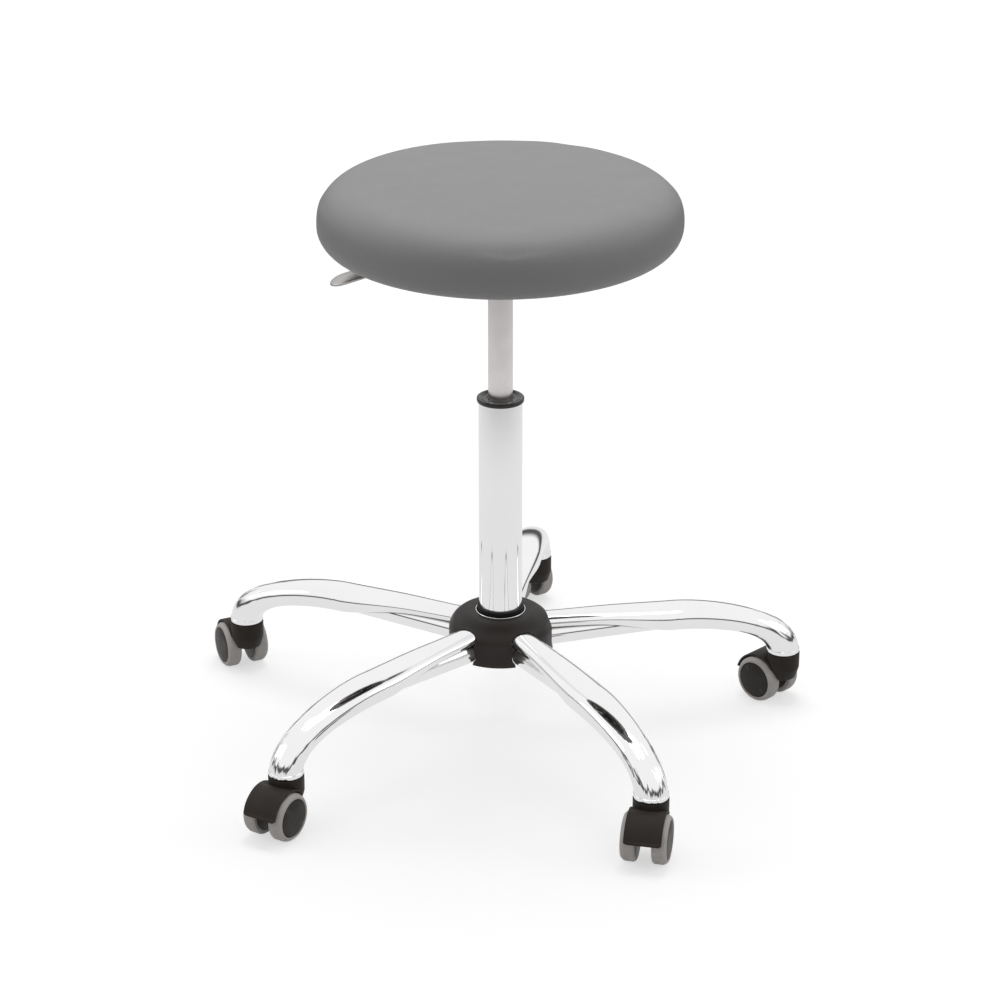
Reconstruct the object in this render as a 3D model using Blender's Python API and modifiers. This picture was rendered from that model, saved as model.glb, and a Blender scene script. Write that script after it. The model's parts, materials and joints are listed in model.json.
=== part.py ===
"""A doctor stool: round padded seat, gas lift, five-arm chrome base and twin-wheel casters.

Metres, +Z up. The origin lies on the floor under the column, and one arm points to the back, +Y.
The seat is modelled fully raised. The casters stand as they were left, each at its own angle.
"""

import math

import bmesh
import bpy
from mathutils import Matrix, Vector

# Fits between pieces
GAP = 0.0003
RUNNING_FIT = 0.0003
CUT_MARGIN = 0.010

# Seat cushion and board
SEAT_RADIUS = 0.2035
SEAT_ABOVE_COLLAR = 0.1762
SEAT_THICKNESS = 0.076
SEAT_EDGE_LIFT = 0.0295
SEAT_FLAT_RADIUS = 0.040
SEAT_CROWN = 0.002
SHOULDER_ABOVE = 0.050
SHOULDER_BELOW = 0.036
SHOULDER_POWER = 2.1
COVER_THICKNESS = 0.0012
COVER_TUCK = 0.018
BOARD_INSET = 0.0405
BOARD_THICKNESS = 0.012

# Seat plate with its socket, bolts and lever
PLATE_SIZE = 0.150
PLATE_THICKNESS = 0.003
PLATE_CORNER = 0.012
BOLT_SPACING = 0.110
BOLT_RADIUS = 0.003
BOLT_HEAD_RADIUS = 0.0055
BOLT_HEAD_HEIGHT = 0.004
SOCKET_WALL = 0.0055
LEVER_ANGLE = math.radians(195.0)
LEVER_PIVOT_OFFSET = 0.035
LEVER_AXIS_DROP = 0.0072
LEVER_THICKNESS = 0.004
LEVER_REACH = 0.1545
LEVER_DROOP = 0.0245
LEVER_LEVEL_LENGTH = 0.020
LEVER_BAR_SHARE = 0.45
LEVER_WIDENING = 1.2
LEVER_TIP_SWEEP = math.radians(75.0)
LEVER_BAR_WIDTH = 0.012
LEVER_PADDLE_WIDTH = 0.032
LEVER_BOSS_RADIUS = 0.005
LEVER_EAR_THICKNESS = 0.003
LEVER_EAR_LENGTH = 0.014
LEVER_PIN_RADIUS = 0.0025
LEVER_SIDE_PLAY = 0.0005

# Gas lift
CYLINDER_RADIUS = 0.014
CYLINDER_WALL = 0.0018
CYLINDER_PLUG = 0.012
CYLINDER_TAPER = 0.0008
CYLINDER_TAPER_LENGTH = 0.026
CYLINDER_OVERLAP = 0.157
LIFT_TRAVEL = 0.125
LIFT_STOP_CLEARANCE = 0.0036
VALVE_RADIUS = 0.0025
VALVE_TIP_RADIUS = 0.0012
VALVE_TIP_HEIGHT = 0.001
VALVE_RISE = 0.0067
VALVE_LENGTH = 0.028
PISTON_ROD_RADIUS = 0.005
PISTON_HEIGHT = 0.010
PISTON_CLEARANCE = 0.002
FLANGE_RADIUS = 0.009
FLANGE_THICKNESS = 0.003
BEARING_RADIUS = 0.013
BEARING_THICKNESS = 0.010
CLIP_RADIUS = 0.0085
CLIP_THICKNESS = 0.003
ROD_END = 0.003

# Column
COLUMN_RADIUS = 0.025
COLUMN_WALL = 0.0015
COLUMN_FLOOR = 0.003
COLUMN_BOTTOM = 0.0855
COLUMN_TAPER_TOP = 0.158
COLUMN_TAPER = 0.0014
COLLAR_RADIUS = 0.027
COLLAR_HEIGHT = 0.0048
COLLAR_TOP = 0.4138
COLLAR_CAP = 0.003
COLLAR_BORE_PLAY = 0.0016
COLLAR_ROUNDING = 0.001
GUIDE_LENGTH = 0.115

# Hub
HUB_BOTTOM = 0.0985
HUB_TOP = 0.144
HUB_RADIUS = 0.0325
HUB_NECK_TOP = 0.1555
HUB_NECK_RADIUS = 0.027
COVER_RADIUS = 0.060
COVER_BOTTOM = 0.102
COVER_TOP = 0.150
COVER_DOME_HEIGHT = 0.0235
COVER_HOLE_RADIUS = 0.029
COVER_RIM = 0.0028
COVER_WALL = 0.0025
COVER_FLARE = 0.001
COVER_FLARE_HEIGHT = 0.006
COVER_ARM_PLAY = 0.0006

# Arms
ARM_NAMES = ("back", "left_rear", "left_front", "right_front", "right_rear")
STEM_CIRCLE = 0.342
ARM_END_HEIGHT = 0.0667
ARM_ROOT_HEIGHT = 0.1316
ARM_CREST_RADIUS = 0.203
ARM_CREST_HEIGHT = 0.1240
ARM_CREST_SLOPE = 0.02
ARM_CREST_REACH = 0.33
ARM_ROOT_HALF_WIDTH = 0.0150
ARM_ROOT_HALF_HEIGHT = 0.0085
ARM_HALF_WIDTH = 0.0232
ARM_HALF_HEIGHT = 0.0143
ARM_ROOT_SQUARENESS = 2.2
ARM_SQUARENESS = 2.7
ARM_SLEEVE_RADIUS = 0.0188
ARM_WALL = 0.002
ARM_LIP_RADIUS = 0.0196
ARM_LIP_HEIGHT = 0.0048
RIB_HALF_WIDTH = 0.0155
RIB_HALF_HEIGHT = 0.0140
RIB_ROOT_DROP = 0.0185
RIB_SLOPE = 0.059

# Places along the arm: 0 at its root, 1 at its crest and 2 at its end
ARM_STATIONS = (0.0, 0.4, 0.6, 0.8, 1.0, 1.2, 1.36, 1.5, 1.63, 1.75, 1.88)
ARM_HOLLOW_STATIONS = (1.38, 1.2, 1.0, 0.8, 0.6, 0.4, 0.0)
ARM_DEEPENING_START = 0.35
ARM_NARROWING_START = 1.03
ARM_NARROWING_LENGTH = 0.77
SLEEVE_SWELL_START = 1.5
SLEEVE_SWELL_LENGTH = 0.5
ARM_BEND_PULL = 0.74

# Casters
CASTER_TRAIL_ANGLES = {
    "back": 132.0,
    "left_rear": 123.0,
    "left_front": 245.3,
    "right_front": 264.7,
    "right_rear": 142.5,
}
CASTER_TRAIL = 0.022
WHEEL_RADIUS = 0.0275
WHEEL_SPACING = 0.035
TYRE_WIDTH = 0.0165
TYRE_DEPTH = 0.0055
TYRE_SHOULDER_WIDTH = 0.0041
TYRE_SHOULDER_DEPTH = 0.0030
TYRE_CHAMFER_WIDTH = 0.0020
TYRE_CHAMFER_DEPTH = 0.0012
WHEEL_DOME = 0.0012
WHEEL_DOME_BREAK = 0.6
WHEEL_DOME_BREAK_RISE = 0.7
AXLE_RADIUS = 0.003
AXLE_LENGTH = 0.046
STEM_RADIUS = 0.0055
STEM_ENGAGEMENT = 0.0205
STEM_IN_HOUSING = 0.029
STEM_CHAMFER = 0.001
HOOD_WIDTH = 0.0415
HOOD_WALL = 0.0021
WELL_CLEARANCE = 0.0017
WEB_CLEARANCE = 0.00065
HOOD_BOTTOM = 0.033
BARREL_RADIUS = 0.020
BARREL_BOTTOM = 0.046
BARREL_CHAMFER = 0.0015
BARREL_FOOT_RADIUS = 0.016
AXLE_BOSS_RADIUS = 0.007
CASTER_TOP_GAP = 0.001

# Sides of round pieces. Wheels rest on a facet, so a quarter of their sides ends in a half.
SEAT_SIDES = 32
COLUMN_SIDES = 24
SMALL_SIDES = 12
WHEEL_SIDES = 18
WELL_SIDES = 20
ARM_SIDES = 16
SHOULDER_POINTS = 5
LINING_POINTS = 3
DOME_POINTS = 4

# Heights that follow from the sizes above, with the gas lift fully out
COLLAR_BOTTOM = COLLAR_TOP - COLLAR_HEIGHT
SEAT_BOTTOM = COLLAR_TOP + SEAT_ABOVE_COLLAR
COVER_INSIDE = SEAT_BOTTOM + COVER_THICKNESS
BOARD_BOTTOM = COVER_INSIDE + GAP
BOARD_TOP = BOARD_BOTTOM + BOARD_THICKNESS
BOARD_RADIUS = SEAT_RADIUS - BOARD_INSET
PLATE_BOTTOM = COVER_INSIDE - PLATE_THICKNESS
LEVER_AXIS_HEIGHT = PLATE_BOTTOM - LEVER_AXIS_DROP
VALVE_TOP = LEVER_AXIS_HEIGHT - LEVER_THICKNESS / 2 - GAP
CYLINDER_TOP = VALVE_TOP - VALVE_RISE
CYLINDER_BOTTOM = COLLAR_TOP - CYLINDER_OVERLAP
CHAMBER_BOTTOM = CYLINDER_BOTTOM + CYLINDER_PLUG
CHAMBER_TOP = CYLINDER_TOP - CYLINDER_PLUG
SOCKET_BOTTOM = COLLAR_TOP + LIFT_TRAVEL + LIFT_STOP_CLEARANCE
COLUMN_INSIDE = COLUMN_RADIUS - COLUMN_WALL
COLUMN_TOP = COLLAR_TOP - COLLAR_CAP - GAP
BEARING_BOTTOM = COLUMN_BOTTOM + COLUMN_FLOOR + GAP
FLANGE_BOTTOM = BEARING_BOTTOM + BEARING_THICKNESS + GAP
ARM_ROOT_RADIUS = HUB_RADIUS + GAP
BARREL_TOP = ARM_END_HEIGHT - CASTER_TOP_GAP

# Looks: base colour, metallic, roughness
VINYL = ("grey_vinyl", (0.30, 0.30, 0.30), 0.0, 0.5)
FOAM = ("foam", (0.75, 0.70, 0.50), 0.0, 0.9)
PLYWOOD = ("plywood", (0.05, 0.042, 0.036), 0.0, 0.7)
CHROME = ("chrome", (0.80, 0.80, 0.80), 1.0, 0.06)
SATIN_STEEL = ("satin_steel", (0.62, 0.61, 0.60), 1.0, 0.3)
ZINC_STEEL = ("zinc_steel", (0.55, 0.55, 0.53), 1.0, 0.4)
BLACK_STEEL = ("black_steel", (0.02, 0.02, 0.02), 0.3, 0.5)
BLACK_PLASTIC = ("black_plastic", (0.035, 0.033, 0.030), 0.0, 0.5)
WHITE_PLASTIC = ("white_plastic", (0.80, 0.80, 0.77), 0.0, 0.4)
GREY_TYRE = ("grey_tyre", (0.36, 0.35, 0.34), 0.0, 0.55)
BRONZE = ("bronze", (0.55, 0.36, 0.14), 1.0, 0.4)


def collection_named(name):
    collection = bpy.data.collections.new(name)
    bpy.context.scene.collection.children.link(collection)
    return collection


def material_of(look):
    """The Principled material of this look, made the first time it is asked for."""
    name, colour, metallic, roughness = look
    material = bpy.data.materials.get(name)
    if material is None:
        material = bpy.data.materials.new(name)
        material.use_nodes = True
        shader = material.node_tree.nodes["Principled BSDF"]
        shader.inputs["Base Color"].default_value = (*colour, 1.0)
        shader.inputs["Metallic"].default_value = metallic
        shader.inputs["Roughness"].default_value = roughness
    return material


def part(name, mesh, look):
    """A sub-part of the stool."""
    obj = bpy.data.objects.new(name, mesh)
    obj.data.materials.clear()
    obj.data.materials.append(material_of(look))
    PARTS.objects.link(obj)
    return obj


def helper(name, mesh):
    """A shape that cuts or joins another and isn't a part."""
    obj = bpy.data.objects.new(name, mesh)
    obj.hide_render = True
    obj.display_type = "WIRE"
    CUTTERS.objects.link(obj)
    return obj


def combine(obj, other, operation, solver="EXACT"):
    modifier = obj.modifiers.new(other.name, "BOOLEAN")
    modifier.operation = operation
    modifier.object = other
    modifier.solver = solver


def turn(obj, sides):
    """Turns an object's profile about its own Z axis."""
    screw = obj.modifiers.new("Turn", "SCREW")
    screw.axis = "Z"
    screw.steps = sides
    screw.render_steps = sides
    screw.use_merge_vertices = True
    screw.merge_threshold = 0.00001
    return obj


def profile_mesh(name, points, closed):
    """A profile of (radius, height) points that runs down its outer side."""
    mesh = bpy.data.meshes.new(name)
    edges = [(i, i + 1) for i in range(len(points) - 1)]
    if closed:
        edges.append((len(points) - 1, 0))
    mesh.from_pydata([(radius, 0, height) for radius, height in points], edges, [])
    return mesh


def turned(name, points, look, sides=COLUMN_SIDES):
    """A part turned from a profile that starts and ends on the axis."""
    return turn(part(name, profile_mesh(name, points, False), look), sides)


def ring(name, points, look, sides=COLUMN_SIDES):
    """A part turned from a closed profile that stays off the axis."""
    return turn(part(name, profile_mesh(name, points, True), look), sides)


def cylinder_mesh(name, radius, low, high, sides):
    """A cylinder along Z between two heights."""
    shape = bmesh.new()
    middle = Matrix.Translation((0, 0, (low + high) / 2))
    bmesh.ops.create_cone(
        shape,
        cap_ends=True,
        segments=sides,
        radius1=radius,
        radius2=radius,
        depth=high - low,
        matrix=middle,
    )
    return finished(shape, name)


def box_mesh(name, low, high):
    """A box between two corners."""
    shape = bmesh.new()
    low, high = Vector(low), Vector(high)
    place = Matrix.Translation((low + high) / 2) @ Matrix.Diagonal((*(high - low), 1))
    bmesh.ops.create_cube(shape, size=1, matrix=place)
    return finished(shape, name)


def finished(shape, name):
    """A mesh from a bmesh, smooth where it is round."""
    bmesh.ops.recalc_face_normals(shape, faces=shape.faces)
    mesh = bpy.data.meshes.new(name)
    shape.to_mesh(mesh)
    shape.free()
    mesh.shade_smooth()
    mesh.set_sharp_from_angle(angle=math.radians(35))
    return mesh


def loft_mesh(name, rings):
    """A closed skin over rings of equally many points, capped at both ends."""
    shape = bmesh.new()
    rows = [[shape.verts.new(point) for point in points] for points in rings]
    for row, following in zip(rows, rows[1:]):
        for i in range(len(row)):
            j = (i + 1) % len(row)
            shape.faces.new((row[i], row[j], following[j], following[i]))
    shape.faces.new(rows[0])
    shape.faces.new(rows[-1])
    return finished(shape, name)


def baked(obj):
    """The evaluated mesh of an object that was cut and joined. The object is then removed."""
    bpy.context.view_layer.update()
    graph = bpy.context.evaluated_depsgraph_get()
    mesh = bpy.data.meshes.new_from_object(obj.evaluated_get(graph))
    used = [modifier.object for modifier in obj.modifiers if modifier.type == "BOOLEAN"]
    for old in (obj, *used):
        bpy.data.objects.remove(old)
    mesh.shade_smooth()
    mesh.set_sharp_from_angle(angle=math.radians(35))
    return mesh


def bezier(points, t):
    """The point and the direction at t on a Bezier curve."""
    while len(points) > 2:
        points = [a.lerp(b, t) for a, b in zip(points, points[1:])]
    return points[0].lerp(points[1], t), (points[1] - points[0]).normalized()


def ease(t):
    """Rises smoothly from 0 to 1 as t does, and stays level outside."""
    t = min(max(t, 0.0), 1.0)
    return t * t * (3 - 2 * t)


def mixed(first, second, share):
    return first + (second - first) * share


# Seat


def seat_outline(inset, count):
    """The cushion's profile from the crown's middle to its underside, drawn in by inset."""
    top = SEAT_BOTTOM + SEAT_THICKNESS - inset
    edge = SEAT_BOTTOM + SEAT_EDGE_LIFT
    rise = top - SEAT_CROWN - edge
    fall = SEAT_EDGE_LIFT - inset
    points = [(0, top), (SEAT_FLAT_RADIUS, top)]
    for i in range(count + 1):
        angle = math.pi / 2 * (1 - i / count)
        out = max(math.cos(angle), 0) ** (2 / SHOULDER_POWER)
        up = math.sin(angle) ** (2 / SHOULDER_POWER)
        radius = SEAT_RADIUS - SHOULDER_ABOVE + (SHOULDER_ABOVE - inset) * out
        points.append((radius, edge + rise * up))
    for i in range(1, count + 1):
        angle = math.pi / 2 * i / count
        out = max(math.cos(angle), 0) ** (2 / SHOULDER_POWER)
        down = math.sin(angle) ** (2 / SHOULDER_POWER)
        radius = SEAT_RADIUS - SHOULDER_BELOW + (SHOULDER_BELOW - inset) * out
        points.append((radius, edge - fall * down))
    return points


def make_cushion():
    tuck = BOARD_RADIUS - COVER_TUCK
    fold = [(tuck, SEAT_BOTTOM), (tuck, COVER_INSIDE)]
    outside = seat_outline(0, SHOULDER_POINTS)
    inside = seat_outline(COVER_THICKNESS, LINING_POINTS)
    cover = turned("upholstery_cover", outside + fold + inside[::-1], VINYL, SEAT_SIDES)

    recess = BOARD_RADIUS + GAP
    under = [(recess, BOARD_BOTTOM), (recess, BOARD_TOP + GAP), (0, BOARD_TOP + GAP)]
    filling = seat_outline(COVER_THICKNESS + GAP, LINING_POINTS)
    foam = turned("foam_pad", filling + under, FOAM, SEAT_SIDES)
    for piece in (cover, foam):
        piece.rotation_euler.z = LEVER_ANGLE


def bolt_places():
    half = BOLT_SPACING / 2
    return [(x, y) for x in (-half, half) for y in (-half, half)]


def cut_bolt_holes(obj, low, high):
    """Cuts the four bolt holes through an object in the seat plate's frame, from low to high."""
    for number, (x, y) in enumerate(bolt_places(), 1):
        radius = BOLT_RADIUS + RUNNING_FIT
        mesh = cylinder_mesh("hole", radius, low - CUT_MARGIN, high + CUT_MARGIN, SMALL_SIDES)
        hole = helper(f"{obj.name}_hole_{number}", mesh)
        hole.matrix_world = obj.matrix_world @ Matrix.Translation((x, y, 0))
        combine(obj, hole, "DIFFERENCE")


def make_board():
    outline = [(0, BOARD_TOP), (BOARD_RADIUS, BOARD_TOP), (BOARD_RADIUS, BOARD_BOTTOM), (0, BOARD_BOTTOM)]
    board = turned("seat_board", outline, PLYWOOD, SEAT_SIDES)
    board.rotation_euler.z = LEVER_ANGLE
    bpy.context.view_layer.update()
    cut_bolt_holes(board, BOARD_BOTTOM, BOARD_TOP)


def make_bolts():
    head_top = PLATE_BOTTOM - GAP
    head_bottom = head_top - BOLT_HEAD_HEIGHT
    tip = BOARD_TOP - GAP
    outline = [(0, tip), (BOLT_RADIUS, tip), (BOLT_RADIUS, head_top), (BOLT_HEAD_RADIUS, head_top)]
    outline += [(BOLT_HEAD_RADIUS, head_bottom), (0, head_bottom)]
    turning = Matrix.Rotation(LEVER_ANGLE, 4, "Z")
    for number, (x, y) in enumerate(bolt_places(), 1):
        bolt = turned(f"seat_bolt_{number}", outline, ZINC_STEEL, SMALL_SIDES)
        bolt.location = turning @ Vector((x, y, 0))


def cylinder_radius_at(height):
    """The gas cylinder's radius, which tapers at its top end."""
    share = (height - (CYLINDER_TOP - CYLINDER_TAPER_LENGTH)) / CYLINDER_TAPER_LENGTH
    return CYLINDER_RADIUS - CYLINDER_TAPER * min(max(share, 0), 1)


def rounded_plate_mesh(name, size, corner, low, high):
    """A square plate with rounded corners between two heights."""
    shape = bmesh.new()
    place = Matrix.Translation((0, 0, (low + high) / 2)) @ Matrix.Diagonal((size, size, high - low, 1))
    bmesh.ops.create_cube(shape, size=1, matrix=place)
    upright = [edge for edge in shape.edges if abs(edge.verts[0].co.z - edge.verts[1].co.z) > 1e-6]
    bmesh.ops.bevel(shape, geom=upright, offset=corner, segments=3, profile=0.5, affect="EDGES")
    return finished(shape, name)


def make_seat_plate():
    plate_mesh = rounded_plate_mesh("seat_plate", PLATE_SIZE, PLATE_CORNER, PLATE_BOTTOM, COVER_INSIDE)
    plate = part("seat_plate", plate_mesh, BLACK_STEEL)
    plate.rotation_euler.z = LEVER_ANGLE
    bpy.context.view_layer.update()
    frame = plate.matrix_world.copy()
    into_plate = PLATE_BOTTOM + PLATE_THICKNESS / 2

    taper_start = CYLINDER_TOP - CYLINDER_TAPER_LENGTH
    outside = CYLINDER_RADIUS + SOCKET_WALL
    heights = [SOCKET_BOTTOM, max(taper_start, SOCKET_BOTTOM + GAP), CYLINDER_TOP, PLATE_BOTTOM - GAP]
    bore = [(cylinder_radius_at(height) + GAP, height) for height in heights]
    outline = [(0, into_plate), (outside, into_plate), (outside, SOCKET_BOTTOM)] + bore
    outline.append((0, bore[-1][1]))
    socket = turn(helper("socket", profile_mesh("socket", outline, False)), COLUMN_SIDES)
    socket.matrix_world = frame
    combine(plate, socket, "UNION")

    inner = LEVER_BAR_WIDTH / 2 + LEVER_SIDE_PLAY
    near = LEVER_PIVOT_OFFSET - LEVER_EAR_LENGTH / 2
    far = LEVER_PIVOT_OFFSET + LEVER_EAR_LENGTH / 2
    ear_bottom = LEVER_AXIS_HEIGHT - LEVER_EAR_LENGTH / 2
    for side in (-1, 1):
        edges = sorted((side * inner, side * (inner + LEVER_EAR_THICKNESS)))
        mesh = box_mesh("ear", (near, edges[0], ear_bottom), (far, edges[1], into_plate))
        ear = helper(f"ear_{side}", mesh)
        ear.matrix_world = frame
        combine(plate, ear, "UNION")

    # The lever reaches the valve pin through a slot in the socket's wall.
    slot_far = (outside + GAP, inner, PLATE_BOTTOM - GAP)
    slot = helper("socket_slot", box_mesh("slot", (0, -inner, CYLINDER_TOP - GAP), slot_far))
    slot.matrix_world = frame
    combine(plate, slot, "DIFFERENCE")

    pin_reach = inner + 2 * LEVER_EAR_THICKNESS
    pin_mesh = cylinder_mesh("hole", LEVER_PIN_RADIUS + RUNNING_FIT, -pin_reach, pin_reach, SMALL_SIDES)
    hole = helper("ear_hole", pin_mesh)
    hole.matrix_world = frame @ lever_axis_frame()
    combine(plate, hole, "DIFFERENCE")
    cut_bolt_holes(plate, PLATE_BOTTOM, COVER_INSIDE)


# Release lever


def lever_axis_frame():
    """From a cylinder along Z to the lever's pivot, in the seat plate's frame."""
    place = Matrix.Translation((LEVER_PIVOT_OFFSET, 0, LEVER_AXIS_HEIGHT))
    return place @ Matrix.Rotation(math.pi / 2, 4, "X")


def lever_ring(along, width, drop):
    """A flat section of the lever with rounded sides, about its pivot."""
    flat = width / 2 - LEVER_THICKNESS / 2
    points = []
    for side in (1, -1):
        for step in range(4):
            angle = math.pi / 2 - math.pi * step / 3
            across = side * (flat + LEVER_THICKNESS / 2 * math.cos(angle))
            points.append((along, across, side * LEVER_THICKNESS / 2 * math.sin(angle) - drop))
    return points


def make_lever():
    end = -LEVER_PIVOT_OFFSET - LEVER_BAR_WIDTH / 2
    rings = [lever_ring(along, LEVER_BAR_WIDTH, 0) for along in (end, LEVER_LEVEL_LENGTH)]
    bar_end = LEVER_REACH * LEVER_BAR_SHARE
    tip_length = LEVER_PADDLE_WIDTH / 2
    for share in (0.0, 0.4, 0.7, 1.0):
        along = bar_end + (LEVER_REACH - tip_length - bar_end) * share
        width = LEVER_BAR_WIDTH + (LEVER_PADDLE_WIDTH - LEVER_BAR_WIDTH) * ease(share * LEVER_WIDENING)
        rings.append(lever_ring(along, width, LEVER_DROOP * (along / LEVER_REACH) ** 2))
    for step in (1, 2, 3):
        angle = LEVER_TIP_SWEEP * step / 3
        along = LEVER_REACH - tip_length + tip_length * math.sin(angle)
        width = LEVER_PADDLE_WIDTH * math.cos(angle)
        rings.append(lever_ring(along, width, LEVER_DROOP * (along / LEVER_REACH) ** 2))
    lever = part("release_lever", loft_mesh("release_lever", rings), CHROME)

    pivot = Vector((LEVER_PIVOT_OFFSET, 0, LEVER_AXIS_HEIGHT))
    lever.location = Matrix.Rotation(LEVER_ANGLE, 3, "Z") @ pivot
    lever.rotation_euler.z = LEVER_ANGLE
    bpy.context.view_layer.update()
    across = lever.matrix_world @ Matrix.Rotation(math.pi / 2, 4, "X")
    half = LEVER_BAR_WIDTH / 2
    boss = helper("lever_boss", cylinder_mesh("boss", LEVER_BOSS_RADIUS, -half, half, SMALL_SIDES))
    hole_mesh = cylinder_mesh("hole", LEVER_PIN_RADIUS + RUNNING_FIT, -2 * half, 2 * half, SMALL_SIDES)
    hole = helper("lever_hole", hole_mesh)
    for shape, operation in ((boss, "UNION"), (hole, "DIFFERENCE")):
        shape.matrix_world = across
        combine(lever, shape, operation)

    reach = half + LEVER_SIDE_PLAY + LEVER_EAR_THICKNESS
    pin_mesh = cylinder_mesh("lever_pivot_pin", LEVER_PIN_RADIUS, -reach, reach, SMALL_SIDES)
    pin = part("lever_pivot_pin", pin_mesh, ZINC_STEEL)
    pin.matrix_world = across


# Gas lift and column


def make_gas_lift():
    taper_start = CYLINDER_TOP - CYLINDER_TAPER_LENGTH
    bore = CYLINDER_RADIUS - CYLINDER_WALL - CYLINDER_TAPER
    valve_hole = VALVE_RADIUS + RUNNING_FIT
    rod_hole = PISTON_ROD_RADIUS + RUNNING_FIT
    outside = [(valve_hole, CYLINDER_TOP), (cylinder_radius_at(CYLINDER_TOP), CYLINDER_TOP)]
    outside += [(CYLINDER_RADIUS, taper_start), (CYLINDER_RADIUS, CYLINDER_BOTTOM)]
    inside = [(rod_hole, CYLINDER_BOTTOM), (rod_hole, CHAMBER_BOTTOM), (bore, CHAMBER_BOTTOM)]
    inside += [(bore, CHAMBER_TOP), (valve_hole, CHAMBER_TOP)]
    ring("gas_cylinder", outside + inside, SATIN_STEEL)

    foot = VALVE_TOP - VALVE_LENGTH
    shoulder = VALVE_TOP - VALVE_TIP_HEIGHT
    valve = [(0, VALVE_TOP), (VALVE_TIP_RADIUS, VALVE_TOP), (VALVE_RADIUS, shoulder)]
    valve += [(VALVE_RADIUS, foot), (0, foot)]
    turned("valve_pin", valve, ZINC_STEEL, SMALL_SIDES)

    head_bottom = CHAMBER_BOTTOM + PISTON_CLEARANCE
    head_top = head_bottom + PISTON_HEIGHT
    head = bore - RUNNING_FIT
    flange_top = FLANGE_BOTTOM + FLANGE_THICKNESS
    rod_bottom = COLUMN_BOTTOM - GAP - CLIP_THICKNESS - ROD_END
    rod = [(0, head_top), (head, head_top), (head, head_bottom), (PISTON_ROD_RADIUS, head_bottom)]
    rod += [(PISTON_ROD_RADIUS, flange_top), (FLANGE_RADIUS, flange_top), (FLANGE_RADIUS, FLANGE_BOTTOM)]
    rod += [(PISTON_ROD_RADIUS, FLANGE_BOTTOM), (PISTON_ROD_RADIUS, rod_bottom), (0, rod_bottom)]
    turned("piston_rod", rod, SATIN_STEEL, SMALL_SIDES)

    bearing_top = BEARING_BOTTOM + BEARING_THICKNESS
    washer("thrust_bearing", rod_hole, BEARING_RADIUS, BEARING_BOTTOM, bearing_top, BRONZE)
    clip_top = COLUMN_BOTTOM - GAP
    washer("retaining_clip", rod_hole, CLIP_RADIUS, clip_top - CLIP_THICKNESS, clip_top, ZINC_STEEL)


def washer(name, inner, outer, low, high, look):
    ring(name, [(inner, high), (outer, high), (outer, low), (inner, low)], look, SMALL_SIDES)


def column_radius_at(height):
    """The column tube's outer radius, which tapers where it wedges into the hub."""
    share = (COLUMN_TAPER_TOP - height) / (COLUMN_TAPER_TOP - COLUMN_BOTTOM)
    return COLUMN_RADIUS - COLUMN_TAPER * min(max(share, 0), 1)


def make_column():
    bottom_radius = column_radius_at(COLUMN_BOTTOM)
    floor_top = COLUMN_BOTTOM + COLUMN_FLOOR
    hole = PISTON_ROD_RADIUS + RUNNING_FIT
    outside = [(COLUMN_INSIDE, COLUMN_TOP), (COLUMN_RADIUS, COLUMN_TOP), (COLUMN_RADIUS, COLUMN_TAPER_TOP)]
    outside += [(bottom_radius, COLUMN_BOTTOM), (hole, COLUMN_BOTTOM), (hole, floor_top)]
    inside = [(bottom_radius - COLUMN_WALL, floor_top), (COLUMN_INSIDE, COLUMN_TAPER_TOP)]
    ring("column_tube", outside + inside, CHROME)

    guide_outer = COLUMN_INSIDE - GAP
    guide_inner = CYLINDER_RADIUS + RUNNING_FIT
    guide_bottom = COLUMN_TOP - GUIDE_LENGTH
    bush = [(guide_inner, COLUMN_TOP), (guide_outer, COLUMN_TOP)]
    bush += [(guide_outer, guide_bottom), (guide_inner, guide_bottom)]
    ring("guide_bush", bush, WHITE_PLASTIC)

    bore = CYLINDER_RADIUS + COLLAR_BORE_PLAY
    skirt = COLUMN_RADIUS + GAP
    ceiling = COLLAR_TOP - COLLAR_CAP
    collar = [(bore, ceiling + COLLAR_CAP / 2), (skirt - COLLAR_ROUNDING, COLLAR_TOP)]
    collar += [(COLLAR_RADIUS - COLLAR_ROUNDING, COLLAR_TOP), (COLLAR_RADIUS, COLLAR_TOP - COLLAR_ROUNDING)]
    collar += [(COLLAR_RADIUS, COLLAR_BOTTOM), (skirt, COLLAR_BOTTOM), (skirt, ceiling), (bore, ceiling)]
    ring("collar_ring", collar, BLACK_PLASTIC)


# Hub


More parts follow.
